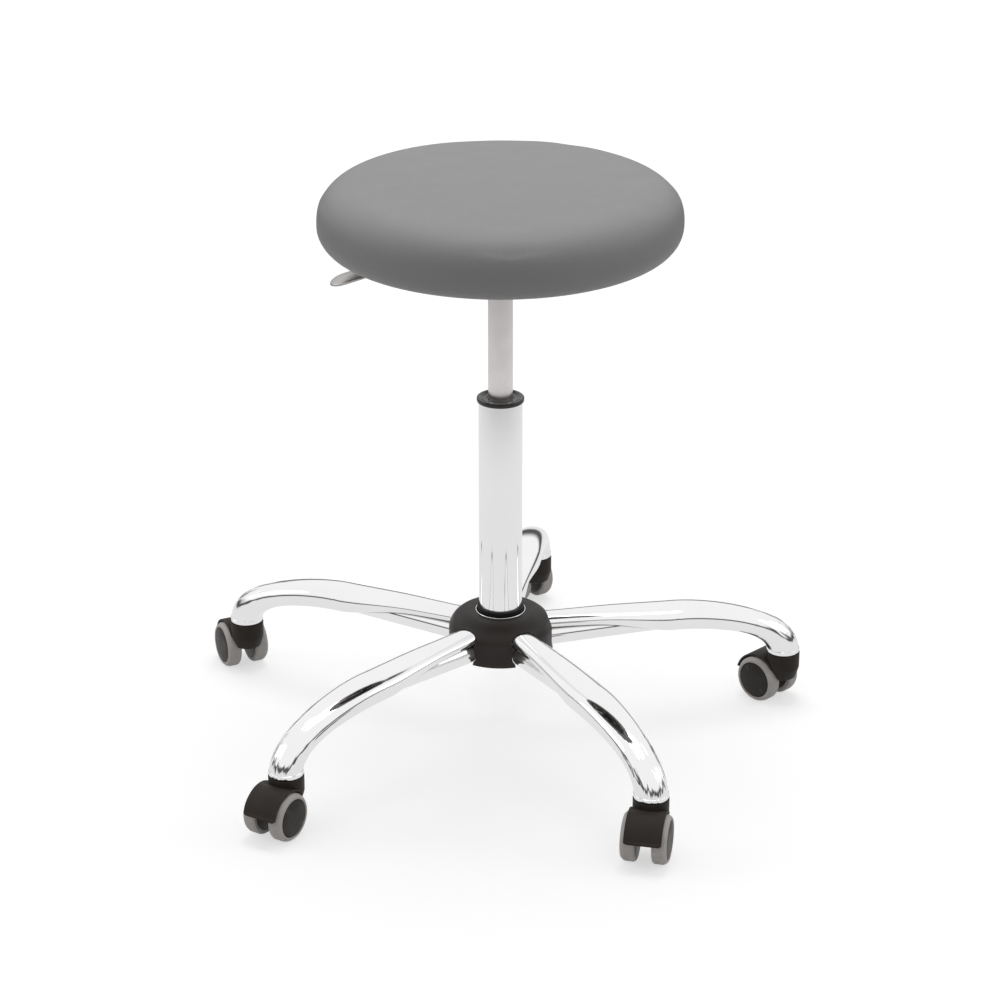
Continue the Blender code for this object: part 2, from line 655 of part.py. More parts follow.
def make_hub():
    bore = [(column_radius_at(height) + GAP, height) for height in (HUB_BOTTOM, HUB_NECK_TOP)]
    core = [(HUB_NECK_RADIUS, HUB_NECK_TOP), (HUB_NECK_RADIUS, HUB_TOP), (HUB_RADIUS, HUB_TOP)]
    core += [(HUB_RADIUS, HUB_BOTTOM)] + bore
    ring("hub_core", core, BLACK_STEEL)

    spring = COVER_TOP - COVER_DOME_HEIGHT
    shoulder = COVER_HOLE_RADIUS + COVER_RIM
    outside = [(COVER_HOLE_RADIUS, COVER_TOP)]
    outside += dome(shoulder, spring, COVER_RADIUS - shoulder, COVER_DOME_HEIGHT)
    outside.append((COVER_RADIUS, COVER_BOTTOM + COVER_FLARE_HEIGHT))
    outside.append((COVER_RADIUS + COVER_FLARE, COVER_BOTTOM))
    inner_reach = COVER_RADIUS - COVER_WALL - COVER_HOLE_RADIUS
    inside = dome(COVER_HOLE_RADIUS, spring, inner_reach, COVER_DOME_HEIGHT - COVER_WALL)
    foot = (COVER_RADIUS + COVER_FLARE - COVER_WALL, COVER_BOTTOM)
    cover = ring("hub_cover", outside + [foot] + inside[::-1], BLACK_PLASTIC, COLUMN_SIDES)

    near, far = HUB_RADIUS, 2 * COVER_RADIUS
    slot_low = COVER_BOTTOM - CUT_MARGIN
    slot_high = ARM_ROOT_HEIGHT - RIB_ROOT_DROP / 2
    half = RIB_HALF_WIDTH + COVER_ARM_PLAY
    for name, angle in arm_angles():
        sections = [arm_ring(t, -COVER_ARM_PLAY) for t in ARM_STATIONS[:2]]
        opening = helper(f"cover_opening_{name}", loft_mesh("opening", sections))
        slot_mesh = box_mesh("slot", (near, -half, slot_low), (far, half, slot_high))
        slot = helper(f"cover_slot_{name}", slot_mesh)
        for shape in (opening, slot):
            shape.rotation_euler.z = angle
            combine(cover, shape, "DIFFERENCE", "MANIFOLD")


def dome(radius, height, reach, rise):
    """A quarter ellipse from its top, over this radius, down and out to this height."""
    angles = [math.pi / 2 * i / DOME_POINTS for i in range(DOME_POINTS + 1)]
    return [(radius + reach * math.sin(angle), height + rise * math.cos(angle)) for angle in angles]


# Arms


def arm_angles():
    step = 2 * math.pi / len(ARM_NAMES)
    return [(name, math.pi / 2 + step * number) for number, name in enumerate(ARM_NAMES)]


def deepening(t):
    """How far the arm's tube has gone from its depth at the root to that at the crest."""
    return ease((t - ARM_DEEPENING_START) / (1 - ARM_DEEPENING_START))


def arm_path(t):
    """Centre of the arm's upper tube, and the direction its section faces: upright up to the crest."""
    crest = Vector((ARM_CREST_RADIUS, ARM_CREST_HEIGHT))
    root = Vector((ARM_ROOT_RADIUS, ARM_ROOT_HEIGHT))
    end = Vector((STEM_CIRCLE, ARM_END_HEIGHT))
    if t <= 1:
        before = Vector(((root.x + 2 * crest.x) / 3, crest.y))
        radius = bezier([root, before, crest], t)[0].x
        return Vector((radius, mixed(root.y, crest.y, deepening(t)))), Vector((1, 0))
    over = crest + Vector((1, ARM_CREST_SLOPE)) * (end.x - crest.x) * ARM_CREST_REACH
    above = Vector((end.x, end.y + (crest.y - end.y) * ARM_BEND_PULL))
    return bezier([crest, over, above, end], t - 1)


def arm_ring(t, inset, sides=ARM_SIDES):
    """The arm's section at t, drawn in by inset: a flattened tube joined with the rib under it."""
    centre, direction = arm_path(t)
    swell = ease((t - SLEEVE_SWELL_START) / SLEEVE_SWELL_LENGTH)
    flat_height = mixed(ARM_ROOT_HALF_HEIGHT, ARM_HALF_HEIGHT, deepening(t))
    half_height = mixed(flat_height, ARM_SLEEVE_RADIUS, swell) - inset
    narrowed = ease((t - ARM_NARROWING_START) / ARM_NARROWING_LENGTH)
    flat_width = mixed(ARM_ROOT_HALF_WIDTH, ARM_HALF_WIDTH, ease(t))
    half_width = mixed(flat_width, ARM_SLEEVE_RADIUS, narrowed) - inset
    power = mixed(mixed(ARM_ROOT_SQUARENESS, ARM_SQUARENESS, ease(t)), 2, narrowed)
    rib_middle = ARM_ROOT_HEIGHT - RIB_ROOT_DROP + RIB_SLOPE * (centre.x - ARM_ROOT_RADIUS)
    drop = max(centre.y - rib_middle, 0)
    rib_width = RIB_HALF_WIDTH - inset
    rib_height = RIB_HALF_HEIGHT - inset
    points = []
    for i in range(sides):
        angle = 2 * math.pi * i / sides
        across, up = math.cos(angle), math.sin(angle)
        reach = (abs(across / half_width) ** power + abs(up / half_height) ** power) ** (-1 / power)
        # The ray's far crossing with the rib, where it meets the rib at all
        a = (across / rib_width) ** 2 + (up / rib_height) ** 2
        b = up * drop / rib_height**2
        c = (drop / rib_height) ** 2 - 1
        if b * b > a * c:
            reach = max(reach, (math.sqrt(b * b - a * c) - b) / a)
        lift = Vector((-direction.y, direction.x)) * reach * up
        points.append((centre.x + lift.x, reach * across, centre.y + lift.y))
    return points


def level_ring(radius, height, sides=ARM_SIDES):
    """A level circle round the caster's stem."""
    points = []
    for i in range(sides):
        angle = 2 * math.pi * i / sides
        points.append((STEM_CIRCLE + radius * math.sin(angle), radius * math.cos(angle), height))
    return points


def make_arms():
    inside = [arm_ring(t, ARM_WALL) for t in ARM_HOLLOW_STATIONS]
    outside = [arm_ring(t, 0) for t in ARM_STATIONS]
    lip_top = ARM_END_HEIGHT + ARM_LIP_HEIGHT
    end = [level_ring(ARM_SLEEVE_RADIUS, lip_top), level_ring(ARM_LIP_RADIUS, lip_top - GAP)]
    end.append(level_ring(ARM_LIP_RADIUS, ARM_END_HEIGHT))
    tube = helper("arm_tube", loft_mesh("arm_tube", inside + outside + end))
    bore_top = ARM_END_HEIGHT + STEM_ENGAGEMENT + STEM_CHAMFER
    bore_low = ARM_END_HEIGHT - CUT_MARGIN
    bore_mesh = cylinder_mesh("bore", STEM_RADIUS + RUNNING_FIT, bore_low, bore_top, SMALL_SIDES)
    bore = helper("arm_bore", bore_mesh)
    bore.location.x = STEM_CIRCLE
    combine(tube, bore, "DIFFERENCE")
    mesh = baked(tube)
    for name, angle in arm_angles():
        arm = part(f"arm_{name}", mesh, CHROME)
        arm.rotation_euler.z = angle


# Casters, each in a frame on its stem's axis at the floor, with +X leading and +Y to the left


def axle_place():
    """From a cylinder along Z to the caster's axle."""
    return Matrix.Translation((-CASTER_TRAIL, 0, WHEEL_RADIUS)) @ Matrix.Rotation(math.pi / 2, 4, "X")


def caster_housing_mesh():
    inner = WHEEL_SPACING / 2 - TYRE_WIDTH / 2 - WEB_CLEARANCE
    well_radius = WHEEL_RADIUS + WELL_CLEARANCE
    half = HOOD_WIDTH / 2
    hood = helper("hood", cylinder_mesh("hood", well_radius + HOOD_WALL, -half, half, COLUMN_SIDES))
    hood.matrix_world = axle_place()
    reach = 4 * BARREL_RADIUS
    ahead = helper("ahead", box_mesh("ahead", (0, -reach, -reach), (reach, reach, reach)))
    combine(hood, ahead, "DIFFERENCE")

    outline = [(0, BARREL_TOP), (BARREL_RADIUS - BARREL_CHAMFER, BARREL_TOP)]
    outline += [(BARREL_RADIUS, BARREL_TOP - BARREL_CHAMFER), (BARREL_RADIUS, BARREL_BOTTOM)]
    outline += [(BARREL_FOOT_RADIUS, HOOD_BOTTOM - GAP), (0, HOOD_BOTTOM - GAP)]
    barrel = turn(helper("barrel", profile_mesh("barrel", outline, False)), WELL_SIDES)
    combine(hood, barrel, "UNION")
    below = helper("below", box_mesh("below", (-reach, -reach, -reach), (reach, reach, HOOD_BOTTOM)))
    combine(hood, below, "DIFFERENCE")
    boss = helper("axle_boss", cylinder_mesh("axle_boss", AXLE_BOSS_RADIUS, -half, half, WELL_SIDES))
    boss.matrix_world = axle_place()
    combine(hood, boss, "UNION")

    far = WHEEL_SPACING
    for low, high in ((inner, far), (-far, -inner)):
        well = helper(f"well_{low:.3f}", cylinder_mesh("well", well_radius, low, high, WELL_SIDES))
        well.matrix_world = axle_place()
        combine(hood, well, "DIFFERENCE")
    axle_bore_mesh = cylinder_mesh("bore", AXLE_RADIUS + RUNNING_FIT, -far, far, SMALL_SIDES)
    axle_bore = helper("axle_bore", axle_bore_mesh)
    axle_bore.matrix_world = axle_place()
    stem_low = BARREL_TOP - STEM_IN_HOUSING
    stem_high = BARREL_TOP + CUT_MARGIN
    stem_bore_mesh = cylinder_mesh("bore", STEM_RADIUS + RUNNING_FIT, stem_low, stem_high, SMALL_SIDES)
    stem_bore = helper("stem_bore", stem_bore_mesh)
    for cutter in (axle_bore, stem_bore):
        combine(hood, cutter, "DIFFERENCE")
    place = axle_place()
    mesh = baked(hood)
    mesh.transform(place)
    return mesh


def tyre_outline():
    """The tyre's section, with its outward side up, rounder there than towards the housing."""
    outer = WHEEL_RADIUS / math.cos(math.pi / WHEEL_SIDES)
    inner = WHEEL_RADIUS - TYRE_DEPTH
    half = TYRE_WIDTH / 2
    return [
        (inner, half),
        (outer - TYRE_SHOULDER_DEPTH, half),
        (outer, half - TYRE_SHOULDER_WIDTH),
        (outer, TYRE_CHAMFER_WIDTH - half),
        (outer - TYRE_CHAMFER_DEPTH, -half),
        (inner, -half),
    ]


def wheel_outline():
    """The wheel's section: a slightly domed disc on its outward side and a blind axle hole."""
    outer = WHEEL_RADIUS - TYRE_DEPTH - GAP
    face = TYRE_WIDTH / 2 - WHEEL_DOME / 2
    hole = AXLE_RADIUS + RUNNING_FIT
    hole_end = AXLE_LENGTH / 2 - WHEEL_SPACING / 2 + RUNNING_FIT
    back = -TYRE_WIDTH / 2
    return [
        (0, face + WHEEL_DOME),
        (outer * WHEEL_DOME_BREAK, face + WHEEL_DOME * WHEEL_DOME_BREAK_RISE),
        (outer, face),
        (outer, back),
        (hole, back),
        (hole, hole_end),
        (0, hole_end),
    ]


def make_casters():
    housing_mesh = caster_housing_mesh()
    stem_low = BARREL_TOP - STEM_IN_HOUSING + GAP
    stem_high = ARM_END_HEIGHT + STEM_ENGAGEMENT
    stem_outline = [(0, stem_high), (STEM_RADIUS - STEM_CHAMFER, stem_high)]
    stem_outline += [(STEM_RADIUS, stem_high - STEM_CHAMFER), (STEM_RADIUS, stem_low), (0, stem_low)]
    half = AXLE_LENGTH / 2
    axle_mesh = cylinder_mesh("caster_axle", AXLE_RADIUS, -half, half, SMALL_SIDES)
    for name, angle in arm_angles():
        place = Vector((STEM_CIRCLE * math.cos(angle), STEM_CIRCLE * math.sin(angle), 0))
        stem = turned(f"caster_stem_{name}", stem_outline, ZINC_STEEL, SMALL_SIDES)
        stem.location = place

        pivot = bpy.data.objects.new(f"caster_{name}", None)
        PARTS.objects.link(pivot)
        pivot.location = place
        pivot.rotation_euler.z = math.radians(CASTER_TRAIL_ANGLES[name] + 180)
        housing = part(f"caster_housing_{name}", housing_mesh, BLACK_PLASTIC)
        axle = part(f"caster_axle_{name}", axle_mesh, ZINC_STEEL)
        axle.matrix_local = axle_place()
        pieces = [housing, axle]
        for side, sign in (("left", 1), ("right", -1)):
            tyre = ring(f"caster_tyre_{name}_{side}", tyre_outline(), GREY_TYRE, WHEEL_SIDES)
            wheel = turned(f"caster_wheel_{name}_{side}", wheel_outline(), BLACK_PLASTIC, WHEEL_SIDES)
            for piece in (tyre, wheel):
                piece.location = (-CASTER_TRAIL, sign * WHEEL_SPACING / 2, WHEEL_RADIUS)
                piece.rotation_euler.x = -sign * math.pi / 2
                pieces.append(piece)
        for piece in pieces:
            piece.parent = pivot


for leftover in list(bpy.data.objects):
    bpy.data.objects.remove(leftover)
PARTS = collection_named("doctor_stool")
CUTTERS = collection_named("cutters")

make_cushion()
make_board()
make_bolts()
make_seat_plate()
make_lever()
make_gas_lift()
make_column()
make_hub()
make_arms()
make_casters()
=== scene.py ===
"""The doctor stool as it is seen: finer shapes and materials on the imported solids, floor, light, camera."""

import json
import math

import bmesh
import bpy
from mathutils import Matrix, Vector


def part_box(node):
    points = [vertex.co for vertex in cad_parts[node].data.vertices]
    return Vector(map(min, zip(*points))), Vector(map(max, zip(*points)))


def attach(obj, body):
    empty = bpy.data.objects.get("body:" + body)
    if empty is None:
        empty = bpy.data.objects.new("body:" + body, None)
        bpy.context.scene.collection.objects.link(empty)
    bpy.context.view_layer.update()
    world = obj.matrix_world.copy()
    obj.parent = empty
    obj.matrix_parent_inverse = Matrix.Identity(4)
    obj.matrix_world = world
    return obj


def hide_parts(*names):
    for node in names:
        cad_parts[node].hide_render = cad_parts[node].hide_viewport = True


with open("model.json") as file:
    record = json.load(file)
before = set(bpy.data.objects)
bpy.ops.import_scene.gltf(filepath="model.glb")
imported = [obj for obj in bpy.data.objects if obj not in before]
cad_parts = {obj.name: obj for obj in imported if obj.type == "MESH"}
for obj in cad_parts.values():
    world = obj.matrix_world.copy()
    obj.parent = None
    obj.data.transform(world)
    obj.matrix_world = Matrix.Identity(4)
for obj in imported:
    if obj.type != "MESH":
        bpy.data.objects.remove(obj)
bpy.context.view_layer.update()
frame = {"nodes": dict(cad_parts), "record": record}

# Camera of the photograph
CAMERA_TARGET = Vector((0.0, 0.0, 0.2868))
CAMERA_DISTANCE = 3.52211
CAMERA_AZIMUTH = math.radians(7.52)
CAMERA_ELEVATION = math.radians(23.0864)
CAMERA_LENS = 110.79
CAMERA_SHIFT = -0.0005

# Seat. As in the CAD source, but for a fuller upper shoulder and a slightly higher top
SEAT_RADIUS = 0.2035
SEAT_BOTTOM = 0.590
SEAT_TOP = 0.6675
SEAT_EDGE = 0.6195
SEAT_CROWN = 0.002
SEAT_FLAT_RADIUS = 0.040
SHOULDER_ABOVE = 0.050
SHOULDER_BELOW = 0.036
SHOULDER_POWER = 2.6
UNDER_POWER = 2.1
COVER_THICKNESS = 0.0012
BOARD_RADIUS = 0.163
BOARD_TOP = 0.6035
HEM_RADIUS = 0.145
GAP = 0.0003

# Lever and bolts, as in the CAD source
LEVER_ANGLE = math.radians(195.0)
LEVER_PIVOT = 0.035
LEVER_HEIGHT = 0.581
LEVER_BAR_WIDTH = 0.012
LEVER_PADDLE_WIDTH = 0.032
LEVER_THICKNESS = 0.004
LEVER_TIP_THICKNESS = 0.0024
LEVER_REACH = 0.1545
LEVER_STRAIGHT = 0.020
LEVER_WIDENING_START = 0.45
LEVER_DROOP = 0.0245
LEVER_DROOP_POWER = 1.8
LEVER_BOSS_RADIUS = 0.005
LEVER_HOLE_RADIUS = 0.0028
BOLT_PLACE = 0.055
BOLT_SEAT = 0.5879
BOLT_RADIUS = 0.003
BOLT_HEAD_RADIUS = 0.0056
BOLT_HEAD_TOP = 0.0010
BOLT_HEAD_EDGE = 0.0042
BOLT_HEAD_FACE_RADIUS = 0.0050
BOLT_HEAD_BOTTOM = 0.0047
WASHER_RADIUS = 0.0068
WASHER_HOLE_RADIUS = 0.0032
WASHER_THICKNESS = 0.0011

# Column and hub. As in the CAD source, but for a narrower slot under each arm
COLUMN_RADIUS = 0.025
COLUMN_INSIDE = 0.0235
COLUMN_TOP = 0.4105
COLUMN_TAPER_TOP = 0.158
COLUMN_FOOT = 0.0855
COLUMN_FOOT_RADIUS = 0.0236
COLUMN_FLOOR = 0.0885
COLUMN_FLOOR_RADIUS = 0.0221
ROD_HOLE_RADIUS = 0.0053
CYLINDER_RADIUS = 0.014
CYLINDER_INSIDE = 0.0114
CYLINDER_TOP_RADIUS = 0.0132
CYLINDER_TAPER = 0.026
CYLINDER_END_WALL = 0.012
VALVE_HOLE_RADIUS = 0.0028
COLLAR_TOP = 0.4138
COLLAR_BOTTOM = 0.409
COLLAR_RADIUS = 0.027
COLLAR_RIM_RADIUS = 0.0235
COLLAR_DISH_RADIUS = 0.0195
COLLAR_SKIRT_RADIUS = 0.0253
COLLAR_PLAY = 0.0016
COLLAR_LEDGE = 0.003
CORE_TOP = 0.1555
CORE_STEP = 0.144
CORE_BOTTOM = 0.0985
CORE_RADIUS = 0.0325
CORE_NECK_RADIUS = 0.027
CORE_TOP_BORE = 0.0253
CORE_BOTTOM_BORE = 0.0242
COVER_BOTTOM = 0.102
COVER_TOP = 0.150
COVER_RADIUS = 0.060
COVER_HOLE = 0.029
COVER_DOME = 0.0235
COVER_WALL = 0.0025
COVER_FLARE = 0.001
COVER_RIM_WIDTH = 0.0028
COVER_DOME_STEPS = 24
ARM_PLAY = 0.0006
SLOT_START = 0.035
SLOT_END = 0.12
SLOT_HALF_WIDTH = 0.0125
SLOT_TOP = 0.1055
BEAD_RADIUS = 0.0006
BEAD_INSET = 0.0005
BEAD_SIDES = 16

# Arms and casters, as in the CAD source
ARM_ANGLES = {
    name: math.pi / 2 + number * 2 * math.pi / 5
    for number, name in enumerate(("back", "left_rear", "left_front", "right_front", "right_rear"))
}
TRAIL_ANGLES = {
    "back": 132.0,
    "left_rear": 123.0,
    "left_front": 245.3,
    "right_front": 264.7,
    "right_rear": 142.5,
}
STEM_CIRCLE = 0.342
ARM_ROOT = Vector((0.0328, 0.1316))
ARM_CREST = Vector((0.203, 0.1240))
ARM_CREST_SLOPE = 0.02
ARM_CREST_REACH = 0.33
ARM_END = Vector((STEM_CIRCLE, 0.0667))
ARM_BEND_PULL = 0.74
ARM_DEEPENING_START = 0.35
ARM_NARROWING_START = 1.03
ARM_NARROWING_LENGTH = 0.77
ARM_SWELLING_START = 1.5
ARM_SWELLING_LENGTH = 0.5
ARM_ROOT_HALF_WIDTH = 0.0150
ARM_ROOT_HALF_HEIGHT = 0.0085
ARM_HALF_WIDTH = 0.0232
ARM_HALF_HEIGHT = 0.0143
ARM_ROOT_SQUARENESS = 2.2
ARM_SQUARENESS = 2.7
RIB_HALF_WIDTH = 0.0155
RIB_HALF_HEIGHT = 0.0140
RIB_ROOT_DROP = 0.0185
RIB_SLOPE = 0.059
SLEEVE_RADIUS = 0.0188
LIP_RADIUS = 0.0196
LIP_HEIGHT = 0.0048
LIP_INSIDE = 0.0160
PLUG_RADIUS = 0.0155
PLUG_INSET = 0.002
STEM_HOLE_RADIUS = 0.0058
STEM_HOLE_DEPTH = 0.021
CASTER_TRAIL = 0.022
WHEEL_RADIUS = 0.0275
WHEEL_SPACING = 0.035
TYRE_WIDTH = 0.0165
TYRE_DEPTH = 0.0055
WHEEL_SIDE_PLAY = 0.00065
WELL_PLAY = 0.0017
HOOD_WALL = 0.0021
HOOD_WIDTH = 0.0415
HOOD_BOTTOM = 0.033
HOOD_CORNER = 0.006
BARREL_TOP = 0.0657
BARREL_RADIUS = 0.020
BARREL_WAIST = 0.046
BARREL_FOOT_RADIUS = 0.016
AXLE_BOSS_RADIUS = 0.007
AXLE_HOLE_RADIUS = 0.0033
STEM_HOLE_BOTTOM = 0.0367
HOOD_BOUND = 0.08
BORE_REACH = 0.04
DISC_DOMING = 0.0012
DISC_RECESS = 0.0006
DISC_HUB_RADIUS = 0.0085
DISC_HUB_DEPTH = 0.004
AXLE_END = 0.0058


# Mesh helpers


def mesh_of(name, vertices, faces, smooth_angle=40):
    """A mesh that is smooth except where it bends by more than an angle."""
    mesh = bpy.data.meshes.new(name)
    mesh.from_pydata(vertices, [], faces)
    return cleaned(mesh, smooth_angle)


def cleaned(mesh, smooth_angle=40):
    shape = bmesh.new()
    shape.from_mesh(mesh)
    bmesh.ops.recalc_face_normals(shape, faces=shape.faces)
    shape.to_mesh(mesh)
    shape.free()
    mesh.shade_smooth()
    mesh.set_sharp_from_angle(angle=math.radians(smooth_angle))
    return mesh


def revolved(name, profile, sides, closed=False, smooth_angle=40):
    """A profile of (radius, height) turned about Z. A point on the axis becomes one vertex."""
    vertices, rows = [], []
    for radius, height in profile:
        if radius < 1e-7:
            rows.append([len(vertices)] * sides)
            vertices.append((0, 0, height))
            continue
        rows.append(list(range(len(vertices), len(vertices) + sides)))
        for i in range(sides):
            angle = 2 * math.pi * i / sides
            vertices.append((radius * math.cos(angle), radius * math.sin(angle), height))
    pairs = list(zip(rows, rows[1:]))
    if closed:
        pairs.append((rows[-1], rows[0]))
    faces = []
    for upper, lower in pairs:
        for i in range(sides):
            j = (i + 1) % sides
            corners = [upper[i], lower[i], lower[j], upper[j]]
            kept = [c for k, c in enumerate(corners) if c not in corners[:k]]
            if len(kept) > 2:
                faces.append(kept)
    return mesh_of(name, vertices, faces, smooth_angle)


def filleted(points, steps=4, closed=False):
    """A polyline of (x, y, rounding) with each corner rounded."""
    rounded = []
    count = len(points)
    for i, (x, y, rounding) in enumerate(points):
        corner = Vector((x, y))
        if rounding <= 0 or (not closed and i in (0, count - 1)):
            rounded.append((x, y))
            continue
        before = Vector(points[i - 1][:2]) - corner
        after = Vector(points[(i + 1) % count][:2]) - corner
        half = before.angle(after) / 2
        reach = min(rounding / math.tan(half), 0.49 * before.length, 0.49 * after.length)
        first = corner + before.normalized() * reach
        last = corner + after.normalized() * reach
        for step in range(steps + 1):
            t = step / steps
            point = first.lerp(corner, t).lerp(corner.lerp(last, t), t)
            rounded.append((point.x, point.y))
    return rounded


def lofted(name, rings, smooth_angle=40):
    """A skin over rings of equally many points, capped at both ends."""
    count = len(rings[0])
    vertices = [point for points in rings for point in points]
    faces = []
    for r in range(len(rings) - 1):
        low, high = r * count, (r + 1) * count
        for i in range(count):
            j = (i + 1) % count
            faces.append((low + i, low + j, high + j, high + i))
    faces.append(tuple(range(count)))
    faces.append(tuple(range((len(rings) - 1) * count, len(rings) * count)))
    return mesh_of(name, vertices, faces, smooth_angle)


def linked(name, mesh):
    obj = bpy.data.objects.new(name, mesh)
    bpy.context.scene.collection.objects.link(obj)
    return obj


def piece(name, mesh, material, body, slot, *nodes, place=None):
    """A piece of the stool that rides on a body and stands for CAD nodes."""
    obj = linked(name, mesh)
    obj.data.materials.clear()
    obj.data.materials.append(material)
    if place is not None:
        obj.matrix_world = place
    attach(obj, body)
    if nodes:
        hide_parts(*nodes)
    return obj


def cut_mesh(mesh, tools, smooth_angle=40, bevel=0.0):
    """The mesh cut by or joined with others, each given as (mesh, operation). Its edges can be bevelled."""
    base = linked("cut_base", mesh)
    helpers = []
    for number, (tool_mesh, operation) in enumerate(tools):
        tool = linked(f"cut_tool_{number}", tool_mesh)
        helpers.append(tool)
        modifier = base.modifiers.new(f"Cut {number}", "BOOLEAN")
        modifier.operation = operation
        modifier.object = tool
        modifier.solver = "MANIFOLD"
    if bevel:
        rounding = base.modifiers.new("Rounding", "BEVEL")
        rounding.width = bevel
        rounding.segments = 3
        rounding.limit_method = "ANGLE"
        rounding.angle_limit = math.radians(35)
    bpy.context.view_layer.update()
    graph = bpy.context.evaluated_depsgraph_get()
    result = bpy.data.meshes.new_from_object(base.evaluated_get(graph))
    for obj in (base, *helpers):
        bpy.data.objects.remove(obj)
    result.shade_smooth()
    result.set_sharp_from_angle(angle=math.radians(smooth_angle))
    return result


def cylinder(radius, low, high, sides=96, place=None):
    mesh = revolved("cylinder", [(0, high), (radius, high), (radius, low), (0, low)], sides)
    if place is not None:
        mesh.transform(place)
    return mesh


def box(low, high):
    corners = [(x, y, z) for x in (low[0], high[0]) for y in (low[1], high[1]) for z in (low[2], high[2])]
    faces = [(0, 1, 3, 2), (4, 6, 7, 5), (0, 4, 5, 1), (2, 3, 7, 6), (0, 2, 6, 4), (1, 5, 7, 3)]
    return mesh_of("box", corners, faces)


def ease(t):
    t = min(max(t, 0.0), 1.0)
    return t * t * (3 - 2 * t)


def mixed(first, second, share):
    return first + (second - first) * share


# Materials


EDGE_RANGE = (0.5, 0.58)
CREASE_RANGE = (0.43, 0.49)
NOISE_RANGE = (0.3, 0.7)


class Surface:
    """A Principled material under construction, with short ways to add nodes."""

    def __init__(self, name, colour, metallic, roughness):
        self.material = bpy.data.materials.new(name)
        self.material.use_nodes = True
        self.tree = self.material.node_tree
        self.shader = self.tree.nodes["Principled BSDF"]
        self.shader.inputs["Base Color"].default_value = (*colour, 1)
        self.shader.inputs["Metallic"].default_value = metallic
        self.shader.inputs["Roughness"].default_value = roughness
        self.colour = colour
        self.place = self.tree.nodes.new("ShaderNodeTexCoord").outputs["Object"]
        self.normal = None

    def node(self, kind, **settings):
        made = self.tree.nodes.new(kind)
        for key, value in settings.items():
            setattr(made, key, value)
        return made

    def link(self, output, socket):
        self.tree.links.new(output, socket)

    def scaled(self, scale):
        """Object coordinates times a scale for each axis."""
        mapping = self.node("ShaderNodeMapping")
        mapping.inputs["Scale"].default_value = scale
        self.link(self.place, mapping.inputs["Vector"])
        return mapping.outputs["Vector"]

    def noise(self, scale, detail=3.0, stretch=(1, 1, 1)):
        made = self.node("ShaderNodeTexNoise")
        made.inputs["Scale"].default_value = scale
        made.inputs["Detail"].default_value = detail
        self.link(self.scaled(stretch), made.inputs["Vector"])
        return made.outputs["Fac"]

    def cells(self, scale):
        made = self.node("ShaderNodeTexVoronoi", feature="DISTANCE_TO_EDGE")
        made.inputs["Scale"].default_value = scale
        self.link(self.place, made.inputs["Vector"])
        return made.outputs["Distance"]

    def ranged(self, value, low, high, start=0.0, end=1.0):
        """A value from start to end turned into one from low to high."""
        made = self.node("ShaderNodeMapRange")
        for socket, number in (("From Min", start), ("From Max", end), ("To Min", low), ("To Max", high)):
            made.inputs[socket].default_value = number
        self.link(value, made.inputs["Value"])
        return made.outputs["Result"]

    def sum_of(self, first, second, operation="ADD"):
        made = self.node("ShaderNodeMath", operation=operation)
        self.link(first, made.inputs[0])
        if isinstance(second, (int, float)):
            made.inputs[1].default_value = second
        else:
            self.link(second, made.inputs[1])
        return made.outputs[0]

    def edges(self):
        """Near 1 on outer edges and 0 elsewhere: the mask for highlights painted on edges."""
        geometry = self.node("ShaderNodeNewGeometry")
        return self.ranged(geometry.outputs["Pointiness"], 0.0, 1.0, *EDGE_RANGE)

    def creases(self):
        """Near 1 in hollows and 0 elsewhere: the mask for shade painted into creases."""
        geometry = self.node("ShaderNodeNewGeometry")
        return self.ranged(geometry.outputs["Pointiness"], 1.0, 0.0, *CREASE_RANGE)

    def tint(self, share, colour):
        """Mixes a colour into the base colour by a share from 0 to 1."""
        mix = self.node("ShaderNodeMix", data_type="RGBA")
        base = self.shader.inputs["Base Color"]
        if base.is_linked:
            self.link(base.links[0].from_socket, mix.inputs["A"])
        else:
            mix.inputs["A"].default_value = base.default_value
        mix.inputs["B"].default_value = (*colour, 1)
        self.link(share, mix.inputs["Factor"])
        self.link(mix.outputs["Result"], base)
        return self

    def mottle(self, scale, amount, detail=4.0, stretch=(1, 1, 1)):
        """Uneven colour: the base colour down to a darker one."""
        darker = [channel * (1 - amount) for channel in self.colour]
        return self.tint(self.ranged(self.noise(scale, detail, stretch), 0, 1, *NOISE_RANGE), darker)

    def rough(self, value, low, high):
        self.link(self.ranged(value, low, high, *NOISE_RANGE), self.shader.inputs["Roughness"])
        return self

    def bump(self, height, distance, strength=1.0):
        made = self.node("ShaderNodeBump")
        made.inputs["Strength"].default_value = strength
        made.inputs["Distance"].default_value = distance
        self.link(height, made.inputs["Height"])
        if self.normal is not None:
            self.link(self.normal, made.inputs["Normal"])
        self.normal = made.outputs["Normal"]
        self.link(self.normal, self.shader.inputs["Normal"])
        return self

    def axis(self, name):
        made = self.node("ShaderNodeSeparateXYZ")
        self.link(self.place, made.inputs[0])
        return made.outputs[name]

    def radius(self):
        """The distance from the object's own Z axis."""
        flat = self.scaled((1, 1, 0))
        made = self.node("ShaderNodeVectorMath", operation="LENGTH")
        self.link(flat, made.inputs[0])
        return made.outputs["Value"]


def make_vinyl():
    look = Surface("grey_vinyl_seat", (0.30, 0.30, 0.301), 0.0, 0.5)
    look.mottle(7, 0.015)
    grain = look.cells(620)
    fine = look.noise(1500, 2)
    look.tint(look.ranged(grain, 0.28, 0.0, 0.0, 0.10), (0.19, 0.19, 0.19))
    look.rough(look.noise(35, 4), 0.46, 0.53)
    look.bump(look.ranged(grain, 0, 1, 0.0, 0.16), 0.00012, 0.55)
    look.bump(fine, 0.00005, 0.5)
    look.shader.inputs["Specular IOR Level"].default_value = 0.22
    return look.material


